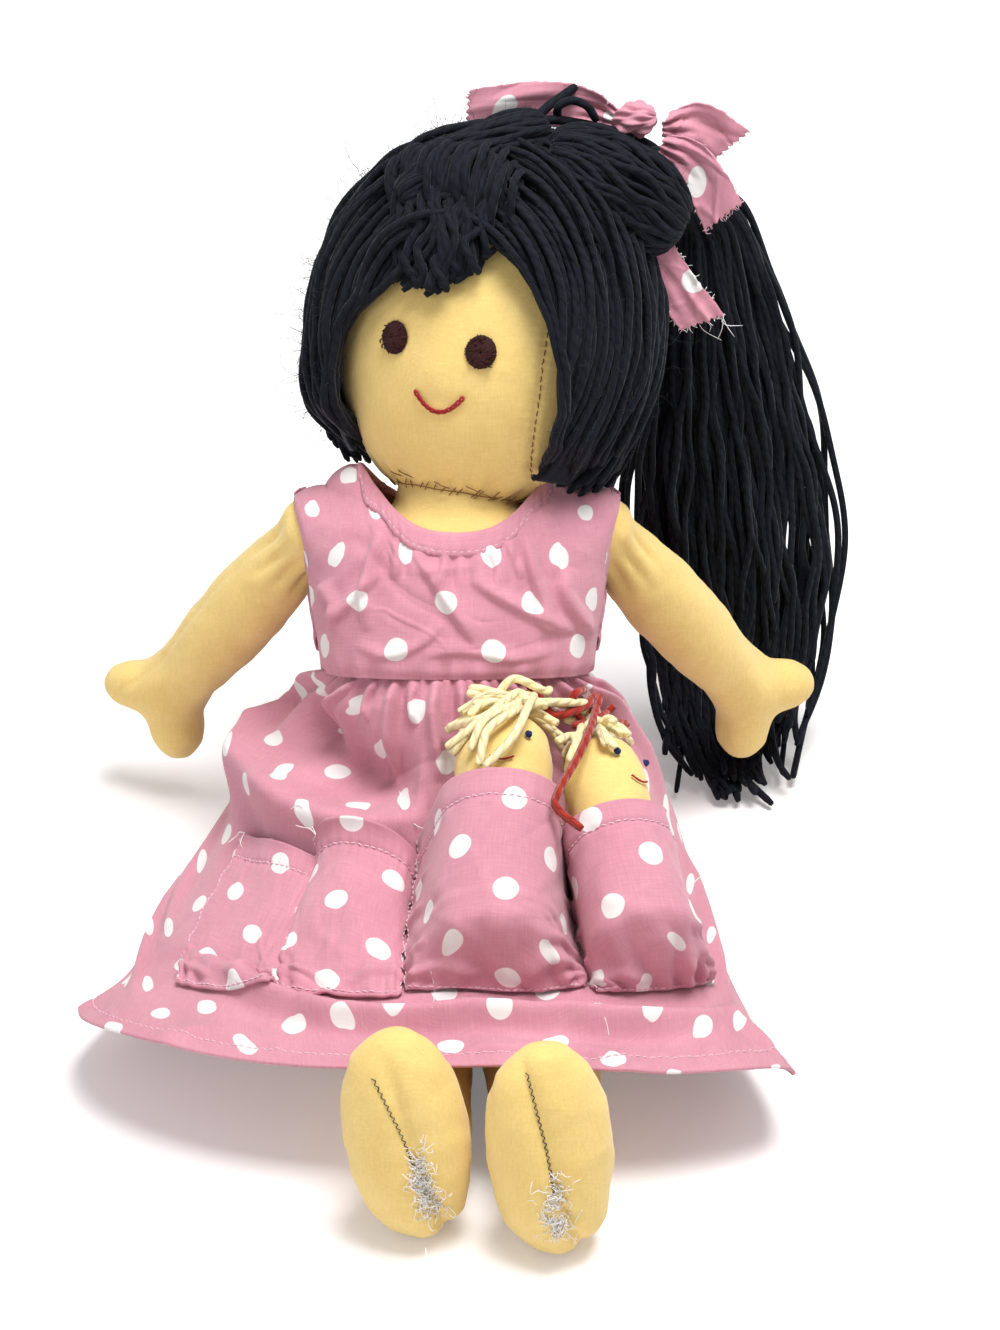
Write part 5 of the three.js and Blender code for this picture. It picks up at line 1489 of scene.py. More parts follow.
def make_mouth():
    """A chain stitch: a row of small loops of red thread along the smile."""
    x = np.linspace(-SMILE_HALF, SMILE_HALF, 200)
    z = 33.8 - SMILE_DEPTH * (1 - (x / SMILE_HALF) ** 2)
    line = resample(on_face(x + 1.5, z, 0.25), 0.25)
    place = lengths(line)
    total = place[-1]
    step = total / SMILE_LINKS
    r = np.random.default_rng(5)
    runs = []

    def at(length):
        return along_line(length, place, line)

    for i in range(SMILE_LINKS):
        a0, a1 = i * step, (i + 1.25) * step
        loop = []
        for t in np.linspace(0, 2 * math.pi, 14):
            s = a0 + (a1 - a0) * (1 - math.cos(t)) / 2
            p = at(min(s, total))
            q = at(min(s + 0.2, total)) - at(max(min(s, total) - 0.2, 0))
            nrm = face_normal(p)
            side = unit(np.cross(q, nrm))
            wide = 0.62 * math.sin(t) * (0.8 + 0.1 * r.normal())
            lift = 0.35 + 0.25 * math.sin((1 - math.cos(t)) / 2 * math.pi)
            loop.append(p + side * wide + nrm * lift)
        runs.append(np.array(loop))
    obj = tubes(
        "mouth_thread_chain", all_to(HEADF, runs), 0.42, mouth_thread, "head", 6,
        taper=0.7
    )
    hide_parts("mouth")


NECK_STITCHES = 46


def make_neck_seam():
    """The head is sewn to the neck with slanting stitches of brown thread."""
    r = np.random.default_rng(8)
    runs = []

    def on_head(a, z, out=0.2):
        share = math.sqrt(1 - ((z - HEAD_MID[2]) / HEAD[2]) ** 2)
        return np.array(
            [math.cos(a) * (HEAD[0] * share + out), math.sin(a) * (HEAD[1] * share + out), z]
        )

    for k in range(NECK_STITCHES):
        a = 2 * math.pi * k / NECK_STITCHES + r.normal(0, 0.03)
        b = a + r.uniform(0.02, 0.12)
        low = np.array([math.cos(a) * 22.1, math.sin(a) * 22.1, 0.6 + r.normal(0, 0.35)])
        high = on_head(b, 3.3 + r.normal(0, 0.3))
        mid = (low + high) / 2 + unit([math.cos(a), math.sin(a), -0.4]) * 0.3
        runs.append(spline([low, mid, high], 8))
    ring = []
    for t in np.linspace(0, 2 * math.pi, 140):
        reach = 22.5 + 0.1 * math.sin(7 * t)
        ring.append([math.cos(t) * reach, math.sin(t) * reach, 1.6 + 0.12 * math.sin(9 * t)])
    runs.append(np.array(ring))
    # Loose ends of the thread at the front
    for a, length in ((-1.9, 8.0), (-1.62, 6.0), (-1.2, 9.0), (-2.15, 5.0)):
        p = on_head(a, 4.0)
        out = unit([math.cos(a), math.sin(a), 0])
        way = unit([-math.sin(a), math.cos(a), -0.25]) * (1 if a > -1.7 else -1)
        runs.append(
            spline(
                [
                    p, p + out * 1.5 + way * length * 0.4, p + out * 1.8 + way * length * 0.8,
                    p + way * length - out * 0.5
                ],
                12
            )
        )
    obj = tubes(
        "neck_stitching", all_to(HEADF, runs), 0.2, seam_thread, "neck", 5, taper=0.6
    )
    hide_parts("neck_seam")


# Hair: every lock is yarn of its own, over a dark ground that closes the gaps

# Half the thickness of a strand of the wig
YARN = 1.35

# Half the width of the wig's opening at each height over the bottom of the head
FACE_EDGE = {
    -1: [
        (6, 25), (14, 33), (24, 37.5), (36, 38), (50, 35.5), (57.5, 31), (64.5, 22), (70, 14),
        (78, 5), (86, 0)
    ],
    1: [
        (6, 25), (14, 33.5), (22, 39.5), (34, 42), (48, 41), (63, 35.5), (74, 29), (80, 23.5),
        (84, 17), (88, 8), (92, 0)
    ],
}


def face_edge(side, z):
    """Half the width of the wig's opening in front of the face."""
    heights, widths = zip(*FACE_EDGE[side])
    return np.interp(z, heights, widths)


def cap_strand(y, side, out, start, low, r, stray=0.0):
    """One strand from the parting down the side of the head at an even depth."""
    size = HEAD + out
    mid = HEAD_MID[2]
    k = math.sqrt(max(1 - (y / size[1]) ** 2, 0.02))
    end = math.acos(max(-0.995, min(1, (low - mid) / (size[2] * k))))
    begin = math.asin(min(1, start / (size[0] * k)))
    n = max(14, int((end - begin) * size[2] * k / 1.5))
    t = np.linspace(begin, end, n)
    x = size[0] * k * np.sin(t)
    z = mid + size[2] * k * np.cos(t)
    phase = r.uniform(0, 6.28, 6)
    length = (t - begin) * size[2] * k
    free = np.clip(length / 12, 0, 1)
    depth = np.full(n, y) + free * (
        (0.9 + 2.2 * stray) * np.sin(length / 24 + phase[0])
        + 0.45 * np.sin(length / 7.3 + phase[1])
        + 0.16 * np.sin(length / 2.6 + phase[2])
    )
    lift = 0.5 * np.sin(length / 11 + phase[3]) + 0.25 * np.sin(length / 4.1 + phase[4])
    lift = lift + stray * (1.3 + 1.2 * np.sin(length / 18 + phase[5]))
    lift = lift + 0.8 * np.sin(y * 0.45 + length / 9 + side) * np.sin(length / 14 + y * 0.2)
    depth = depth + free * 0.9 * np.sin(y * 0.3 + length / 13 + 2 * side)
    edge = face_edge(side, z) + r.uniform(0, 2.2)
    drawn = edge + 2.0 * np.logaddexp(0, (x - edge) / 2.0)
    front = np.clip((-depth - 2) / 12, 0, 1)
    moved = (drawn - x) * front
    x = x + moved
    inside = 1 - (x / size[0]) ** 2 - ((z - mid) / size[2]) ** 2
    surface = -size[1] * np.sqrt(np.maximum(inside, 0.001))
    depth = depth + (surface - depth) * np.clip(moved / 1.5, 0, 1)
    # The ends turn in towards the neck
    under = np.clip(28 - z, 0, 40) ** 2
    x = x - 0.012 * under
    depth = depth + np.where(depth < 5, 0.11, -0.035) * under
    p = np.stack([side * x, depth, z], -1)
    return p + unit((p - HEAD_MID) / size**2) * lift[:, None]


def crown_strand(turned, out, low, r, stray=0.0):
    """One strand of the back of the wig: from the crown down the back of the head."""
    size = HEAD + out
    end = math.acos(max(-0.97, (low - HEAD_MID[2]) / size[2]))
    t = np.linspace(r.uniform(0.03, 0.3), end, 90)
    phase = r.uniform(0, 6.28, 5)
    length = t * 56
    free = np.clip((t - 0.3) * 2, 0, 1)
    angle = (
        turned
        + free * (0.035 * np.sin(length / 24 + phase[0]) + 0.014 * np.sin(length / 7.3 + phase[1]))
    )
    angle = angle + free * 0.02 * np.sin(turned * 9 + length / 15)
    p = np.stack(
        [
            size[0] * np.sin(t) * np.sin(angle), size[1] * np.sin(t) * np.cos(angle),
            size[2] * np.cos(t)
        ],
        -1
    )
    lift = 0.5 * np.sin(length / 11 + phase[2]) + 0.25 * np.sin(length / 4.1 + phase[3])
    lift = (
        lift + stray * (1.3 + 1.2 * np.sin(length / 18 + phase[4]))
        + 0.8 * np.sin(turned * 21 + length / 9)
    )
    return HEAD_MID + p + unit(p / size**2) * lift[:, None]


def over_face(p, inset=0.0):
    """True where a point would hang in the opening in front of the face."""
    x, z = p[..., 0], p[..., 2]
    edge = np.where(x < 0, face_edge(-1, z), face_edge(1, z)) - inset
    return (p[..., 1] < -2) & (np.abs(x) < edge) & (z < 92)


# Layers of the wig, as height over the head and distance between strands, in millimetres
CAP_LAYERS = ((6.6, 2.7), (8.8, 2.5), (10.6, 5.6))
# Where the parting starts and ends, from front to back
PARTING = (-49, 14)
# Mean height of the strands' lower ends beside the face and at the back
SIDE_LOW, BACK_LOW = 11, 9


def make_cap():
    r = np.random.default_rng(21)
    for part, side in (("hair_right", -1), ("hair_left", 1), ("hair_back", 0)):
        runs, sizes = [], []
        for layer, (out, apart) in enumerate(CAP_LAYERS):
            # The strands lie a yarn's width apart, measured round the head
            deep = HEAD[1] + out
            arc0, arc1 = (math.asin(max(-0.985, min(0.985, s / deep))) for s in PARTING)
            if side:
                count = int((arc1 - arc0) * deep / apart) + 1
            else:
                count = int(math.pi * (HEAD[0] + out) / apart)
            for i in range(count):
                place = i + 0.5 * (layer % 2)
                stray = r.uniform(0.2, 1) if layer == 2 else 0.0
                low = (SIDE_LOW if side else BACK_LOW) + r.uniform(-3.0, 4.0)
                if side:
                    y = deep * math.sin(arc0 + (arc1 - arc0) * place / (count - 0.5))
                    strand = cap_strand(y, side, out, 0.8, low, r, stray)
                else:
                    strand = crown_strand(3.24 * place / count - 1.62, out, low, r, stray)
                runs.append(to(HEADF, strand))
                sizes.append(YARN * r.uniform(0.85, 1.12))
        obj = tubes(part + "_yarn", runs, sizes, black_yarn, "head", 7, taper=0.4)
        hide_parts(part)
        fuzz(part + "_fuzz", runs, 6500, 3.4, "head", seed=len(part))
    # The ground under the locks
    rows, columns = 90, 140
    p = ball_grid(rows, columns, 0.02, 2.35)[2] * (HEAD + 4.6) + HEAD_MID
    hide = over_face(p, -2.0).reshape(-1)
    faces = [face for face in grid_faces(rows, columns, True) if not hide[face].any()]
    p = p.reshape(-1, 3)
    ground = mesh_object(
        "wig_ground", to(HEADF, p), faces, black_yarn, "head", p[:, :2]
    )
    solid_cloth(ground, 1.5)


def fuzz(name, runs, count, length, body, seed, middle=None):
    """Loose fibres along strands of yarn."""
    r = np.random.default_rng(seed)
    points = np.vstack(runs)
    pick = r.integers(0, len(points), count)
    roots = points[pick]
    centre = to(HEADF, HEAD_MID) if middle is None else np.asarray(middle, float)
    outward = unit(roots - centre)
    roots = roots + outward * 0.8
    fibres(name, roots, outward, length, 0.075, fuzz_yarn, body, seed)


def bundle_frame(a, b):
    axis = unit(np.subtract(b, a))
    q = Vector((0, 0, 1)).rotation_difference(Vector(axis)).to_matrix()
    return np.array(q), float(np.linalg.norm(np.subtract(b, a)))


def bundle_strands(a, b, wide, deep, count, twist, r, blunt=0.36, ends=0.015):
    turn_, length = bundle_frame(a, b)
    runs = []
    for i in range(count):
        base = 2 * math.pi * i / count + r.normal(0, 0.05)
        s = np.linspace(ends, 1 - ends, 40)
        swell = np.sin(math.pi * s) ** blunt
        loose = 1 + 0.05 * np.sin(2 * math.pi * (1.5 * s + r.random())) + r.normal(0, 0.02)
        ang = base + twist * (s - 0.5) + 0.08 * np.sin(2 * math.pi * (2 * s + r.random()))
        p = np.stack(
            [
                (wide - YARN) * swell * loose * np.cos(ang),
                (deep - YARN) * swell * loose * np.sin(ang), length * s
            ],
            -1
        )
        runs.append(p @ turn_.T + np.asarray(a, float))
    return runs


def bundle_core(name, a, b, wide, deep):
    """A dark closed form inside a bundle of yarn, which closes the gaps between its strands."""
    turn_, length = bundle_frame(a, b)
    rows, columns = 24, 28
    s = np.linspace(0.05, 0.95, rows)[:, None]
    ang = np.linspace(0, 2 * math.pi, columns, endpoint=False)[None]
    swell = np.sqrt(np.sin(math.pi * s))
    p = np.stack([wide * swell * np.cos(ang), deep * swell * np.sin(ang), length * s + 0 * ang], -1)
    p = p @ turn_.T + np.asarray(a, float)
    points = np.vstack([p.reshape(-1, 3), p[0].mean(0), p[-1].mean(0)])
    low, high, last = len(points) - 2, len(points) - 1, (rows - 1) * columns
    faces = grid_faces(rows, columns, True)
    faces += [[(i + 1) % columns, i, low] for i in range(columns)]
    faces += [[last + i, last + (i + 1) % columns, high] for i in range(columns)]
    uv = np.zeros((len(points), 2))
    uv[:, 0] = np.arange(len(points)) * 3.7
    mesh_object(name, to(HEADF, points), faces, black_yarn, "head", uv)


# Bundles of yarn on the head: the two ends, then each layer's half width, half depth, number
# of strands and twist, then the half width and depth of the core, and the number of fibres
BUNDLES = {
    "front_roll": (
        (-23, -43, 94), (14, -9, 131), ((12.6, 12.6, 34, 1.9), (10.6, 10.6, 22, 1.5)), (9.4, 9.4),
        2200
    ),
    "side_puff": (
        (16, -16, 121), (62, 12, 104), ((20.5, 17, 50, 0.5), (18.2, 14.8, 34, 0.8)), (16.4, 13.2),
        2600
    ),
}


def make_roll_and_puff():
    r = np.random.default_rng(31)
    for seed, (name, (a, b, layers, inside, hairs)) in enumerate(BUNDLES.items(), 5):
        runs = []
        for layer in layers:
            runs += bundle_strands(a, b, *layer, r)
        runs = all_to(HEADF, runs)
        obj = tubes(name + "_yarn", runs, YARN, black_yarn, "head", 7, taper=0.3)
        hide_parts(name)
        fuzz(name + "_fuzz", runs, hairs, 3.0, "head", seed)
        bundle_core(name + "_core", a, b, *inside)


def make_fringe():
    """Short curled ends that hang from the front of the parting over the forehead."""
    r = np.random.default_rng(44)
    runs, sizes = [], []
    for i in range(96):
        root = float(np.clip(r.normal(-3, 7.5), -19, 12))
        across = float(np.clip(root * 1.25 + r.normal(0, 2.5), -19, 20))
        bottom = np.interp(across, [-19, -14, -5, 2, 10, 20], [72, 68, 64.5, 68.5, 75, 84])
        top = r.uniform(94, 108)
        low = bottom + r.uniform(0, 1) ** 2 * 18
        s = np.linspace(0, 1, 36)
        z = top + (low - top) * s
        bend = r.uniform(0.8, 2.4)
        turns = r.uniform(0.9, 2.3) * (top - low) / 32
        phase = r.uniform(0, 6.28)
        x = (
            root + (across - root) * s**0.8
            + bend * np.sin(2 * math.pi * turns * s + phase) * np.minimum(1, s * 2)
        )
        thick = 2.2 + 9.5 * r.uniform(0, 1) * np.sin(math.pi * np.clip(0.25 + 0.62 * s, 0, 1))
        lift = thick + bend * (1 + np.cos(2 * math.pi * turns * s + phase)) * 0.4
        base = on_face(x, z, 0)
        p = base + face_normal(base) * lift[:, None]
        curl = np.clip((s - 0.88) / 0.12, 0, 1) ** 1.5
        p = (
            p + face_normal(base) * (curl * r.uniform(-1.5, 2.0))[:, None]
            + np.array([1.0, 0, 0.35]) * (curl * r.normal(0, 2.2))[:, None]
        )
        runs.append(p)
        sizes.append(YARN * r.uniform(0.85, 1.1))
    # Tucked loops where the fringe is sewn to the parting
    for i in range(46):
        x = -19 + 30 * (i % 23) / 22 + r.normal(0, 0.8)
        high = 110 + r.normal(0, 2.0) - 0.02 * (x + 4) ** 2
        drop = r.uniform(13, 20)
        out = r.uniform(5.0, 8.5) if i < 23 else r.uniform(2.0, 5.0)
        s = np.linspace(0, 1, 24)
        z = high - drop * s
        sway = r.normal(0, 1.6) * np.sin(math.pi * s)
        base = on_face(x + sway + 0.12 * (x + 4) * s, z, 0)
        lift = 10.5 + out * np.sin(math.pi * s) ** 0.8 - 4.0 * s**2
        runs.append(base + face_normal(base) * lift[:, None])
        sizes.append(YARN * r.uniform(0.95, 1.2))
    runs = all_to(HEADF, runs)
    obj = tubes("fringe_yarn", runs, sizes, black_yarn, "head", 7, taper=0.7)
    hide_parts("fringe")
    fuzz("fringe_fuzz", runs, 2200, 2.6, "head", 8)


TIE = np.array([50.0, 24.0, 122.0])
TIE_AXIS = unit(np.array([0.62, 0.5, 0.5]))


def make_tie():
    q = np.array(Vector((0, 0, 1)).rotation_difference(Vector(TIE_AXIS)).to_matrix())
    t = np.linspace(0, 2 * math.pi * 3.4, 150)
    radius = 9.5 + 0.9 * np.sin(t * 0.63)
    coil = (
        np.stack([radius * np.cos(t), radius * np.sin(t), np.linspace(-2.4, 2.4, 150)], -1) @ q.T
        + TIE
    )
    # One end is drawn forward under the ribbon and stands up over it
    end = spline(
        [
            coil[-1], [44, 22, 131], [30, 12, 134], [16, 1, 134], [9, -4, 133], [11, 0, 138.5],
            [14, 5, 143], [17, 8, 147]
        ],
        70
    )
    loop = spline([[14, 3, 134], [15, -2, 138], [19, -1, 141], [24, 2, 140], [27, 6, 136]], 40)
    obj = tubes(
        "hair_tie_yarn", all_to(HEADF, (coil, end, loop)), [1.5, 1.7, 1.5], black_yarn, "head", 8,
        taper=0.8
    )
    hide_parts("hair_tie")


def tail_guides():
    points = [
        to(HEADF, TIE - 24 * TIE_AXIS),
        to(HEADF, TIE),
        (88, 132, 212),
        (93, 131, 180),
        (99, 128, 130),
        (104, 122, 85),
        (107, 113, 45),
        (106, 98, 19),
        (106, 80, 7.5),
        (108, 62, 5.5),
    ]
    fine = catmull(points, np.linspace(0, 1, 900))
    gaps = lengths(fine)
    share = np.linspace(0, 1, 300)
    path = along_line(share * gaps[-1], gaps, fine)
    along = unit(np.gradient(path, axis=0))
    across = np.array([1, 0.12, 0])
    across = unit(across - along * (along @ across)[:, None])
    return share, path, across, np.cross(along, across)


# Half width and half depth of the ponytail at each share of its length
TAIL_PLACES = (0, 0.055, 0.1, 0.14, 0.22, 0.31, 0.43, 0.57, 0.7, 0.8, 0.9, 1)
TAIL_WIDTH = list(zip(TAIL_PLACES, (4.5, 5.5, 6, 10, 17, 25, 34, 40, 40, 36, 29, 20)))
TAIL_DEPTH = list(zip(TAIL_PLACES, (4.5, 5.5, 6, 8, 10, 12, 13, 13, 12, 8, 5, 3)))
TAIL_STRANDS = 250
TAIL_POINTS = 120
GOLDEN_ANGLE = 2.39996


def make_tail():
    r = np.random.default_rng(77)
    share, path, across, up = tail_guides()

    def frame_at(s):
        return [along_line(s, share, v) for v in (path, across, up)]

    runs, sizes = [], []
    for i in range(TAIL_STRANDS):
        # The strands fill the bundle evenly, as seeds fill a sunflower
        rad = math.sqrt((i + 0.5) / TAIL_STRANDS)
        ang = i * GOLDEN_ANGLE
        a, b = rad * math.cos(ang), rad * math.sin(ang)
        end = 1.0 - 0.17 * r.random() ** 1.3 - 0.05 * abs(a) - 0.3 * max(0, a - 0.1) * r.random()
        s = np.linspace(0.03, end, TAIL_POINTS)
        wide = smooth_through(TAIL_WIDTH, s) - YARN
        deep = smooth_through(TAIL_DEPTH, s) - YARN
        ph = r.uniform(0, 6.28, 6)
        free = np.clip((s - 0.1) / 0.35, 0, 1)
        drift = 0.16 * r.normal() * free
        sway = (
            2.2 * np.sin(8.2 * s + ph[0]) + 1.7 * np.sin(21 * s + ph[1])
            + 0.6 * np.sin(57 * s + ph[2])
        )
        roll = (
            1.4 * np.sin(10.7 * s + ph[3]) + 1.2 * np.sin(27 * s + ph[4])
            + 0.45 * np.sin(66 * s + ph[5])
        )
        ref, ax, ux = frame_at(s)
        place = np.clip(a + drift, -1, 1)
        place = place * (1 - 0.22 * (place > 0) * free)
        p = (
            ref + ax * (place * wide + free * sway)[:, None]
            + ux * (b * deep + free * roll)[:, None]
        )
        tip = np.clip((s - end + 0.07) / 0.07, 0, 1) ** 2
        p += ax * (tip * r.normal(0, 3.0))[:, None] + ux * (tip * r.normal(0, 1.5))[:, None]
        p[:, 2] = np.maximum(p[:, 2], YARN + 0.3)
        runs.append(p)
        sizes.append(YARN * r.uniform(0.82, 1.1))
    # A few strands stand away on the outside in long loose loops
    loops = (
        (0.2, 0.72, 7.0), (0.3, 0.86, 9.5), (0.42, 0.9, 6.0), (0.1, 0.5, 4.5), (0.5, 0.95, 5.0)
    )
    for i, (start, end, bow) in enumerate(loops):
        s = np.linspace(0.05, end, TAIL_POINTS)
        wide = smooth_through(TAIL_WIDTH, s)
        ref, ax, ux = frame_at(s)
        away = np.sin(math.pi * np.clip((s - start) / (end - start), 0, 1)) ** 1.3
        off = wide * 0.78 + bow * away + 0.8 * np.sin(30 * s + i) * np.clip(s * 4 - 0.4, 0, 1)
        roll = 2.0 * math.sin(i) + 2 * np.sin(9 * s + i) * np.clip(s * 4 - 0.4, 0, 1)
        p = ref + ax * off[:, None] + ux * roll[:, None]
        p[:, 2] = np.maximum(p[:, 2], YARN + 0.3)
        runs.append(p)
        sizes.append(YARN)
    obj = tubes("ponytail_yarn", runs, sizes, black_yarn, "ponytail", 5, taper=0.75)
    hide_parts("ponytail")
    fuzz("ponytail_fuzz", runs, 8000, 3.2, "ponytail", 9, (96, 150, 110))


def make_fuzz():
    """Long wild fibres that stand off the right side of the wig."""
    r = np.random.default_rng(91)
    runs = []
    for _ in range(520):
        y = r.uniform(-44, 30)
        side = 1 if r.random() < 0.25 else -1
        size = HEAD + 11.0
        k = math.sqrt(max(1 - (y / size[1]) ** 2, 0.05))
        t = r.uniform(0.25, 2.2)
        p = np.array([side * size[0] * k * math.sin(t), y, HEAD_MID[2] + size[2] * k * math.cos(t)])
        if over_face(p[None])[0]:
            continue
        n = unit((p - HEAD_MID) / size**2)
        d1, d2 = unit(r.normal(size=3)), unit(r.normal(size=3))
        length = r.uniform(2.5, 9.0) if r.random() < 0.75 else r.uniform(8, 14)
        ways = ((0, 0, 0), (0.3, 0.25, 0), (0.5, 0.5, 0.2), (0.45, 0.6, 0.5))
        runs.append(spline([p + length * (a * n + b * d1 + c * d2) for a, b, c in ways], 9))
    tubes("wig_fuzz", all_to(HEADF, runs), 0.085, fuzz_yarn, "head", 3, taper=0.4)


def tree_of(*names):
    """The surfaces of some finished pieces together, to lay threads on."""
    points, faces = [], []
    for name in names:
        mesh = bpy.data.objects[name].data
        place = bpy.data.objects[name].matrix_world
        faces += [[v + len(points) for v in f.vertices] for f in mesh.polygons]
        points += [place @ v.co for v in mesh.vertices]
    return BVHTree.FromPolygons(points, faces)


# Where the doll is seen from and the picture's way up, rounded, for threads laid over the doll
SEEN_FROM, SEEN_UP = np.array([15.0, -944.0, 694.0]), np.array([0, 0.53, 0.848])
# Depth given to a ray that meets nothing
MISS = 2000.0


def laid_over(tree, path, count, height, rounds=5, reach=0):
    """A path laid over the surfaces as they are seen from the front.

    The path holds millimetres to the right and up from the picture's middle.
    """
    flat = spline([(*p, 0) for p in path], count)
    ways, far = [], []
    for a, b, _ in flat:
        way = unit(TARGET + np.array([a, 0, 0]) + SEEN_UP * b - SEEN_FROM)
        hit = tree.ray_cast(Vector(SEEN_FROM * MM), Vector(way))[3]
        ways.append(way)
        far.append(MISS if hit is None else hit / MM)
    far, ways = np.array(far), np.array(ways)
    # A stiff strand bridges the gaps: it keeps the nearest depth on either side
    near = np.array([far[max(0, i - reach) : i + reach + 1].min() for i in range(count)])
    near = np.minimum(near, near.min() + 45)
    for _ in range(rounds * 3):
        near[1:-1] = (near[:-2] + 2 * near[1:-1] + near[2:]) / 4
    return SEEN_FROM + ways * (near - height)[:, None]


def make_soles():
    """Dark zig-zag stitches up each sole, and worn places where the cloth has frayed white."""
    r = np.random.default_rng(66)
    seams = {
        "leg_right": [(-45, -146), (-40, -156), (-35, -166), (-30, -178)],
        "leg_left": [(9.5, -144), (13, -158), (16.5, -172), (19, -187)],
    }
    worn = {
        "leg_right": [(-29, -177, 4.5, 9), (-24, -190, 5.5, 5), (-27, -184, 4, 6)],
        "leg_left": [(19, -190, 4.5, 9), (20, -198, 5, 4)],
    }
    for name, path in seams.items():
        tree = tree_of(name + "_soft")
        line = laid_over(tree, path, 60, 0.2)
        cut = resample(line, 1.1)
        side = np.array([1.0, 0, 0.25])
        zigzag = np.array([c + side * (0.5 if i % 2 else -0.5) for i, c in enumerate(cut)])
        runs = [
            spline([a, (a + b) / 2 + [0, -0.25, 0.1], b], 5) for a,
            b in zip(zigzag[:-1], zigzag[1:])
        ]
        tubes(name + "_seam_stitches", runs, 0.17, dark_thread, name, 4, taper=0.8)
        runs = []
        for x, z, wide, high in worn[name]:
            for _ in range(80):
                start = np.array([x, z]) + r.normal(size=2) * [wide * 0.45, high * 0.5]
                steps = np.cumsum(r.normal(size=(3, 2)) * r.uniform(0.6, 1.6), axis=0)
                run = laid_over(tree, [start, *(start + steps)], 9, 0.3)
                if len(run) == 9:
                    run[:, 1] -= r.uniform(0, 1.1) * np.sin(np.linspace(0, 3.1, 9))
                    runs.append(run)
        tubes(name + "_worn_threads", runs, 0.13, white_thread, name, 3, taper=0.6)
    # A pulled thread hangs from the right heel down to the floor
    tail = spline(
        [
            (-8, -189, 11), (-7, -194, 7), (-5, -195, 3), (-6.5, -197, 0.8), (-4, -199, 0.5),
            (-7, -201, 0.5), (-5, -203, 0.5)
        ],
        40
    )
    tubes("heel_thread", [tail], 0.14, white_thread, "leg_right", 4, taper=0.6)
    under = tree_of(
        "skirt_front_cloth", "pocket_1_cloth", "pocket_2_cloth", "pocket_3_cloth", "pocket_4_cloth"
    )
    paths = [
        [(-74, -51), (-71, -49.5), (-66.5, -54), (-65, -59), (-66, -62)],
        [(-35.5, -44), (-34, -52), (-29, -57), (-24, -58)],
        [(35, -119), (37.5, -126), (38.5, -131)],
        [(-24.5, -108), (-23, -115), (-24, -121)],
    ]
    tubes(
        "dress_loose_threads", [laid_over(under, q, 24, 0.6) for q in paths], 0.17, white_thread,
        "skirt", 4, taper=0.6
    )


# Ribbon

RIBBON_WIDTH = 15.5
RIBBON = {
    "ribbon_loop_right": [(31, 14, 138.5), (20, 13, 141), (2, 8, 139), (-20, 6, 133)],
    "ribbon_loop_left": [(47, 20, 138), (59, 25, 141), (70, 30, 136)],
    "ribbon_tail_upper": [(50, 12, 131), (60, 12, 128), (68, 14, 120), (74, 18, 110)],
    "ribbon_tail_lower": [(54, 5, 94), (62, 11, 84), (73, 18, 73)],
}


def pulled_threads(p, along, across, torn, r):
    """Threads pulled out of a strip's raw edges and its end; a torn end has a few long ones."""
    last, far = p.shape[0] - 1, p.shape[1] - 1
    frays = []
    for i in range(60):
        if i < 24:
            j = last
            a = p[j, r.integers(0, far + 1)]
            d = along[j] + 0.5 * r.normal(size=3)
        else:
            j = r.integers(4, last - 1)
            edge = 0 if r.random() < 0.5 else far
            a = p[j, edge]
            d = across[j] * (1 if edge else -1) + 0.9 * r.normal(size=3)
        length = r.uniform(0.6, 2.2)
        if torn and i < 5:
            length = r.uniform(8, 12)
        middle = a + unit(d) * length * 0.5
        frays.append(spline([a, middle, a + unit(d + 0.5 * r.normal(size=3)) * length], 7))
    return frays


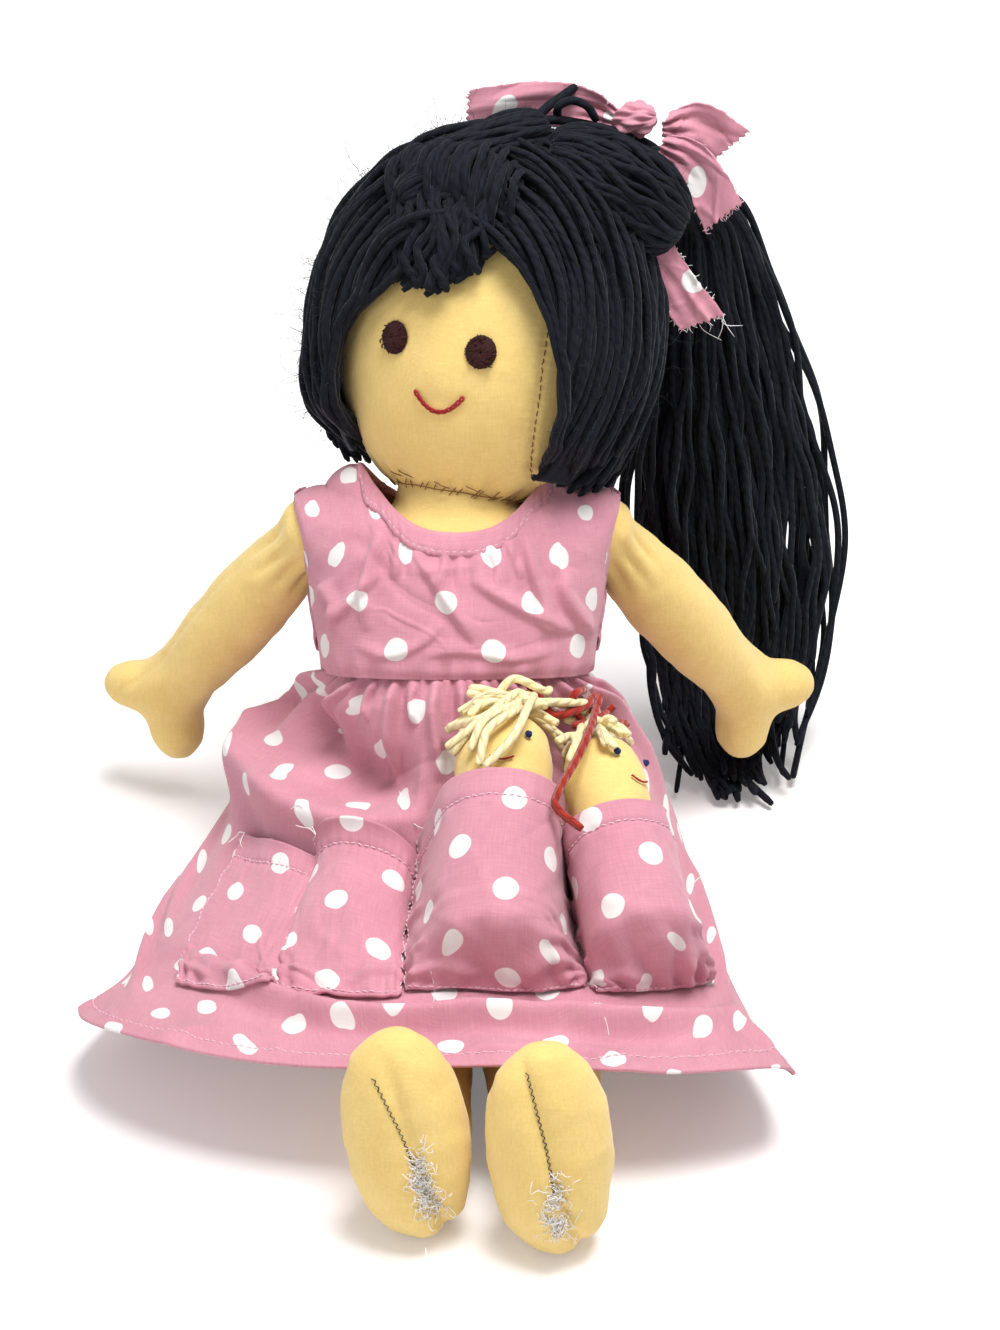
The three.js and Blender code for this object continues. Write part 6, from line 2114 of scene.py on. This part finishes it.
def make_ribbon():
    r = np.random.default_rng(15)
    upright = np.array([0, -0.3, 1.0])
    for k, (name, points) in enumerate(RIBBON.items()):
        path = spline(points, 70)
        along = unit(np.gradient(path, axis=0))
        across = unit(upright - along * (along @ upright)[:, None])
        out = np.cross(along, across)
        s = np.linspace(-0.5, 0.5, 33)
        v = np.linspace(0, 1, 70)
        ragged = 0.8 * noise_at(path, 0.5, k)
        drawn = 1.0 if k == 3 else 0.4 + 0.6 * np.clip(v / 0.45, 0, 1) ** 0.8
        width = (RIBBON_WIDTH + ragged) * drawn
        pinch = bell(v, 0.4) if k < 3 else 0.15 * np.ones(70)
        wrinkle = (
            1.5 * pinch[:, None] * np.sin(s[None] * 19 + 2.5 * v[:, None] + k)
            + 0.9 * np.sin(
                s[None] * 7 + 5 * v[:, None] + k
            ) * np.sin(math.pi * v[:, None]) ** 0.5 * (0.4 if k == 3 else 1)
            + 0.7 * creases(
                70 + k, 12, s[None] + 0.5, v[:, None], (0.03, 0.1), (0.2, 0.6), 1.2, (0.4, 1.4)
            )
        )
        tip = np.clip((v - 0.93) / 0.07, 0, 1)
        slant = (s[None] * (5.0 if k % 2 else -4.0) + 0.5 * np.sin(s[None] * 40 + k)) * tip[:, None]
        p = (
            path[:, None]
            + across[:, None] * (s[None] * width[:, None])[..., None]
            + out[:, None] * wrinkle[..., None]
            + along[:, None] * slant[..., None]
        )
        moved = (13.0 * k, 21.0 * k)
        obj = cloth_piece(
            name + "_cloth", p, ribbon_cloth, "head", 0.6, HEADF, moved
        )
        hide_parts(name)
        frays = pulled_threads(p, along, across, k == 3, r)
        material = white_thread if k == 3 else pink_thread
        strands = all_to(HEADF, frays)
        tubes(name + "_threads", strands, 0.11, material, "head", 4, taper=0.5)
    # The knot: cloth folded round on itself
    knot = np.array([37.5, 16, 139.0])
    rows, columns = 70, 120
    a, f, sphere = ball_grid(rows, columns, 0.02, math.pi - 0.02)
    sphere = np.roll(sphere, 1, -1)
    bands = (
        0.8 * np.sin(a * 4 + 2.2 * np.cos(f) * 2) + 0.5 * np.sin(a * 9 + 5 * f)
        + 0.3 * np.sin(a * 15 + 3 * f)
    )
    p = sphere * np.array([8.0, 5.4, 5.6]) + sphere * bands[..., None] * np.sin(f)[..., None]
    p = p @ turn(-16, "Y")[:3, :3].T
    uv = np.stack([f * 8, a * 8], -1)
    obj = mesh_object(
        "ribbon_knot_cloth", to(HEADF, (p + knot).reshape(-1, 3)), grid_faces(rows, columns, True),
        ribbon_cloth, "head", uv.reshape(-1, 2)
    )
    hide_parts("ribbon_knot")


# The babies' faces and yarn


def make_baby_faces():
    r = np.random.default_rng(35)
    for name, b in BABIES.items():
        for side, word in ((-1, "eye_right"), (1, "eye_left")):
            h = b["length"] * 0.835
            c = baby_point(name, side * 0.5, h)
            n = unit(np.array([c[0], c[1], 0]))
            right = np.array([-n[1], n[0], 0])
            runs = []
            for k in range(5):
                t = np.linspace(0, 2 * math.pi * 0.9, 12)[:, None]
                rad, place = 0.95 - 0.12 * k, t + k * 1.9
                high = 0.3 + 0.25 * k + 0.1 * r.normal(size=(12, 1))
                round_ = right * np.cos(place) + np.array([0, 0, 1.0]) * np.sin(place)
                runs.append(c + rad * round_ + n * high)
            obj = tubes(
                f"{name}_{word}_knot", all_to(b["frame"], runs), 0.42, blue, name, 5,
                taper=0.6
            )
            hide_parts(f"{name}_{word}")
        x = np.linspace(-4, 4, 16)
        h = b["length"] * 0.725 - 1.5 * (1 - (x / 4) ** 2)
        cut = resample(baby_point(name, x / b["radius"], h), 1.5)
        proud = np.array([1.006, 1.006, 1])
        runs = [spline([p, (p + q) / 2 * proud, q], 5) for p, q in zip(cut[:-1], cut[1:])]
        obj = tubes(
            f"{name}_mouth_stitches", all_to(b["frame"], runs), 0.38, mouth_thread, name, 5,
            taper=0.8
        )
        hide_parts(f"{name}_mouth")


# How far yarn lies over a baby's crown, and how stiffly it stands off
CROWN_LIFT, CROWN_STIFF = 1.6, 0.02


def strand_over_head(baby, angle, length, r):
    """Yarn that leaves the top of a baby's head in one direction and falls along it."""
    top = baby["length"] + CROWN_LIFT
    begin = np.array([r.normal(0, 1.8), r.normal(0, 1.8)])
    d = np.array([math.sin(angle), -math.cos(angle)])
    side = np.array([math.cos(angle), math.sin(angle)])
    bend, wave = r.normal(0, 4.0), r.uniform(0, 6.28)
    points = []
    for i in range(26):
        s = length * i / 25
        # It runs out over the crown first and then drops beside the head
        edge = baby["radius"] * 0.93 + CROWN_LIFT
        out = edge * math.tanh(s / edge) + CROWN_STIFF * s * 0.5
        fall = max(0.0, s - out * 0.9) * (1 - 0.6 * CROWN_STIFF)
        bow = bend * (s / length) ** 2 + 0.8 * math.sin(s / 4.2 + wave)
        reach = begin + d * out + side * bow
        height = top + 2.6 * math.sin(min(1, s / 14) * math.pi) * (1 + CROWN_STIFF) - fall
        points.append([reach[0], reach[1], height])
    return np.array(points)


def make_baby_hair():
    r = np.random.default_rng(52)
    # A thin layer of yarn round each crown, then long strands thrown over it, laid as they
    # are seen from the front
    for name, count in (("baby_1", 16), ("baby_2", 13)):
        runs = []
        for i in range(count):
            angle = 2 * math.pi * i / count + r.normal(0, 0.12)
            long_ = r.uniform(9, 15) + 4 * (math.cos(angle) < 0)
            runs.append(strand_over_head(BABIES[name], angle, long_, r))
        world = all_to(BABIES[name]["frame"], runs)
        under = tree_of(
            "baby_1_soft", "baby_2_soft", "pocket_3_cloth", "pocket_4_cloth", "skirt_front_cloth",
            "bodice_front_cloth"
        )
        if name == "baby_1":
            tips = [
                (-18.4, -22.6), (-17.7, -29.7), (-13.8, -17), (-11.3, -11.3), (-6.4, -34.6),
                (-3.9, -10.6), (-8.8, -8.8), (-15, -25), (-10, -31), (30, -13), (28, -16),
                (22, -33), (25, -27)
            ]
            root_at, spread = np.array([7.0, -12.8]), np.array([4.0, 1.8])
        else:
            tips = [(37.8, -30.4), (41, -25), (42, -21), (24, -33), (46, -28)]
            root_at, spread = np.array([27.0, -18.0]), np.array([4.0, 1.5])
        for i in range(len(tips) + len(tips) // 2):
            tip = np.array(tips[i % len(tips)]) + r.normal(0, 1.2, 2)
            root = root_at + r.normal(0, 1.0, 2) * spread
            mid = (tip + root) / 2 + r.normal(0, 2.2, 2) + [0, 2.0]
            past = root + (root - tip) * 0.1 + r.normal(0, 1.0, 2)
            world.append(
                laid_over(
                    under, [past, root, mid, tip], 44, 3.0 + 1.9 * r.random() + 1.2 * (i % 2), 12, 7
                )
            )
        obj = tubes(
            name + ("_yarn" if name == "baby_1" else "_cream_yarn"), world, 1.5, cream, name, 9,
            taper=0.85
        )
        if name == "baby_1":
            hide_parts("baby_1_hair")
    # Long red strands lie loosely over both dolls
    red_paths = [
        [(9.5, -6.4), (14.5, -12), (19.4, -17.7), (29, -15.2), (33.6, -10.6)],
        [(35.3, -10.6), (32.2, -21.6), (27.2, -32.9), (20.8, -44.2), (20.1, -50.5), (29, -58)],
        [(29.7, -8.8), (25.8, -11.3), (29, -19.4), (37.1, -20.1), (44.9, -20.8)],
        [(40.3, -14.5), (35.3, -18.4), (25.8, -21.6)],
        [(44, -24), (38, -19), (32, -16)],
    ]
    runs = [
        laid_over(under, path, 80, 7.6 + 1.0 * (k % 2), 30, 9) for k, path in enumerate(red_paths)
    ]
    obj = tubes("baby_2_yarn", runs, 1.4, red, "baby_2", 9, taper=0.85)
    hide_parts("baby_2_hair")


# Put it together

make_torso()
make_bodice()
make_arms()
make_legs()
make_skirt()
make_pockets()
make_babies()
make_head()
make_eyes()
make_mouth()
make_neck_seam()
make_cap()
make_roll_and_puff()
make_fringe()
make_tie()
make_tail()
make_fuzz()
make_ribbon()
make_baby_faces()
make_baby_hair()
make_soles()

# Floor and light

floor_nodes = Nodes("floor")
FLOOR_VALUES = {
    "Base Color": (0.92, 0.9, 0.9, 1),
    "Emission Color": (1, 0.97, 0.97, 1),
    "Roughness": 0.9,
    "Specular IOR Level": 0.0,
}
for key, value in FLOOR_VALUES.items():
    floor_nodes.shader.inputs[key].default_value = value
# Far from the doll, the floor is as white as the picture's background
# This is painted light: the floor glows for the camera alone, faintly near the doll and more
# further off.
away = floor_nodes.add("ShaderNodeVectorMath", operation="LENGTH")
floor_nodes.link(floor_nodes.add("ShaderNodeTexCoord").outputs["Object"], away.inputs[0])
painted_glow_strength = floor_nodes.add("ShaderNodeMapRange")
for key, value in (("From Min", 0.45), ("From Max", 1.6), ("To Min", 0.18), ("To Max", 0.9)):
    painted_glow_strength.inputs[key].default_value = value
floor_nodes.link(away.outputs["Value"], painted_glow_strength.inputs["Value"])
painted_floor_glow = floor_nodes.math(
    "MULTIPLY", floor_nodes.add("ShaderNodeLightPath").outputs["Is Camera Ray"], painted_glow_strength.outputs[0]
)
floor_nodes.link(painted_floor_glow, floor_nodes.shader.inputs["Emission Strength"])
# Half the side of the floor, in metres
FLOOR_HALF = 6
floor_mesh = bpy.data.meshes.new("floor")
corners = [
    (x * FLOOR_HALF, y * FLOOR_HALF, -0.0005) for x, y in ((-1, -1), (1, -1), (1, 1), (-1, 1))
]
floor_mesh.from_pydata(corners, [], [(0, 1, 2, 3)])
floor_mesh.materials.append(floor_nodes.material)
floor = bpy.data.objects.new("floor", floor_mesh)
bpy.context.scene.collection.objects.link(floor)

world = bpy.data.worlds.new("world")
bpy.context.scene.world = world
world.use_nodes = True
background = world.node_tree.nodes["Background"]
background.inputs[0].default_value = (1, 1, 1, 1)
tree = world.node_tree
path_node = tree.nodes.new("ShaderNodeLightPath")
strength = tree.nodes.new("ShaderNodeMapRange")
strength.inputs["To Min"].default_value = 0.4
strength.inputs["To Max"].default_value = 1.0
tree.links.new(path_node.outputs["Is Camera Ray"], strength.inputs["Value"])
tree.links.new(strength.outputs[0], background.inputs[1])


SOFTBOX_SIZE = 0.7


def softbox(name, place, aim, power):
    data = bpy.data.lights.new(name, "AREA")
    data.shape = "RECTANGLE"
    data.size = data.size_y = SOFTBOX_SIZE
    data.energy = power
    obj = bpy.data.objects.new(name, data)
    bpy.context.scene.collection.objects.link(obj)
    obj.location = place
    obj.rotation_euler = (Vector(aim) - Vector(place)).to_track_quat("-Z", "Y").to_euler()


softbox("key_light", (0.25, -0.06, 1.5), (0, 0, 0.1), 27)
softbox("fill_light", (-0.9, -1.3, 0.8), (0, 0, 0.15), 5)

bpy.context.scene.view_settings.view_transform = "Standard"
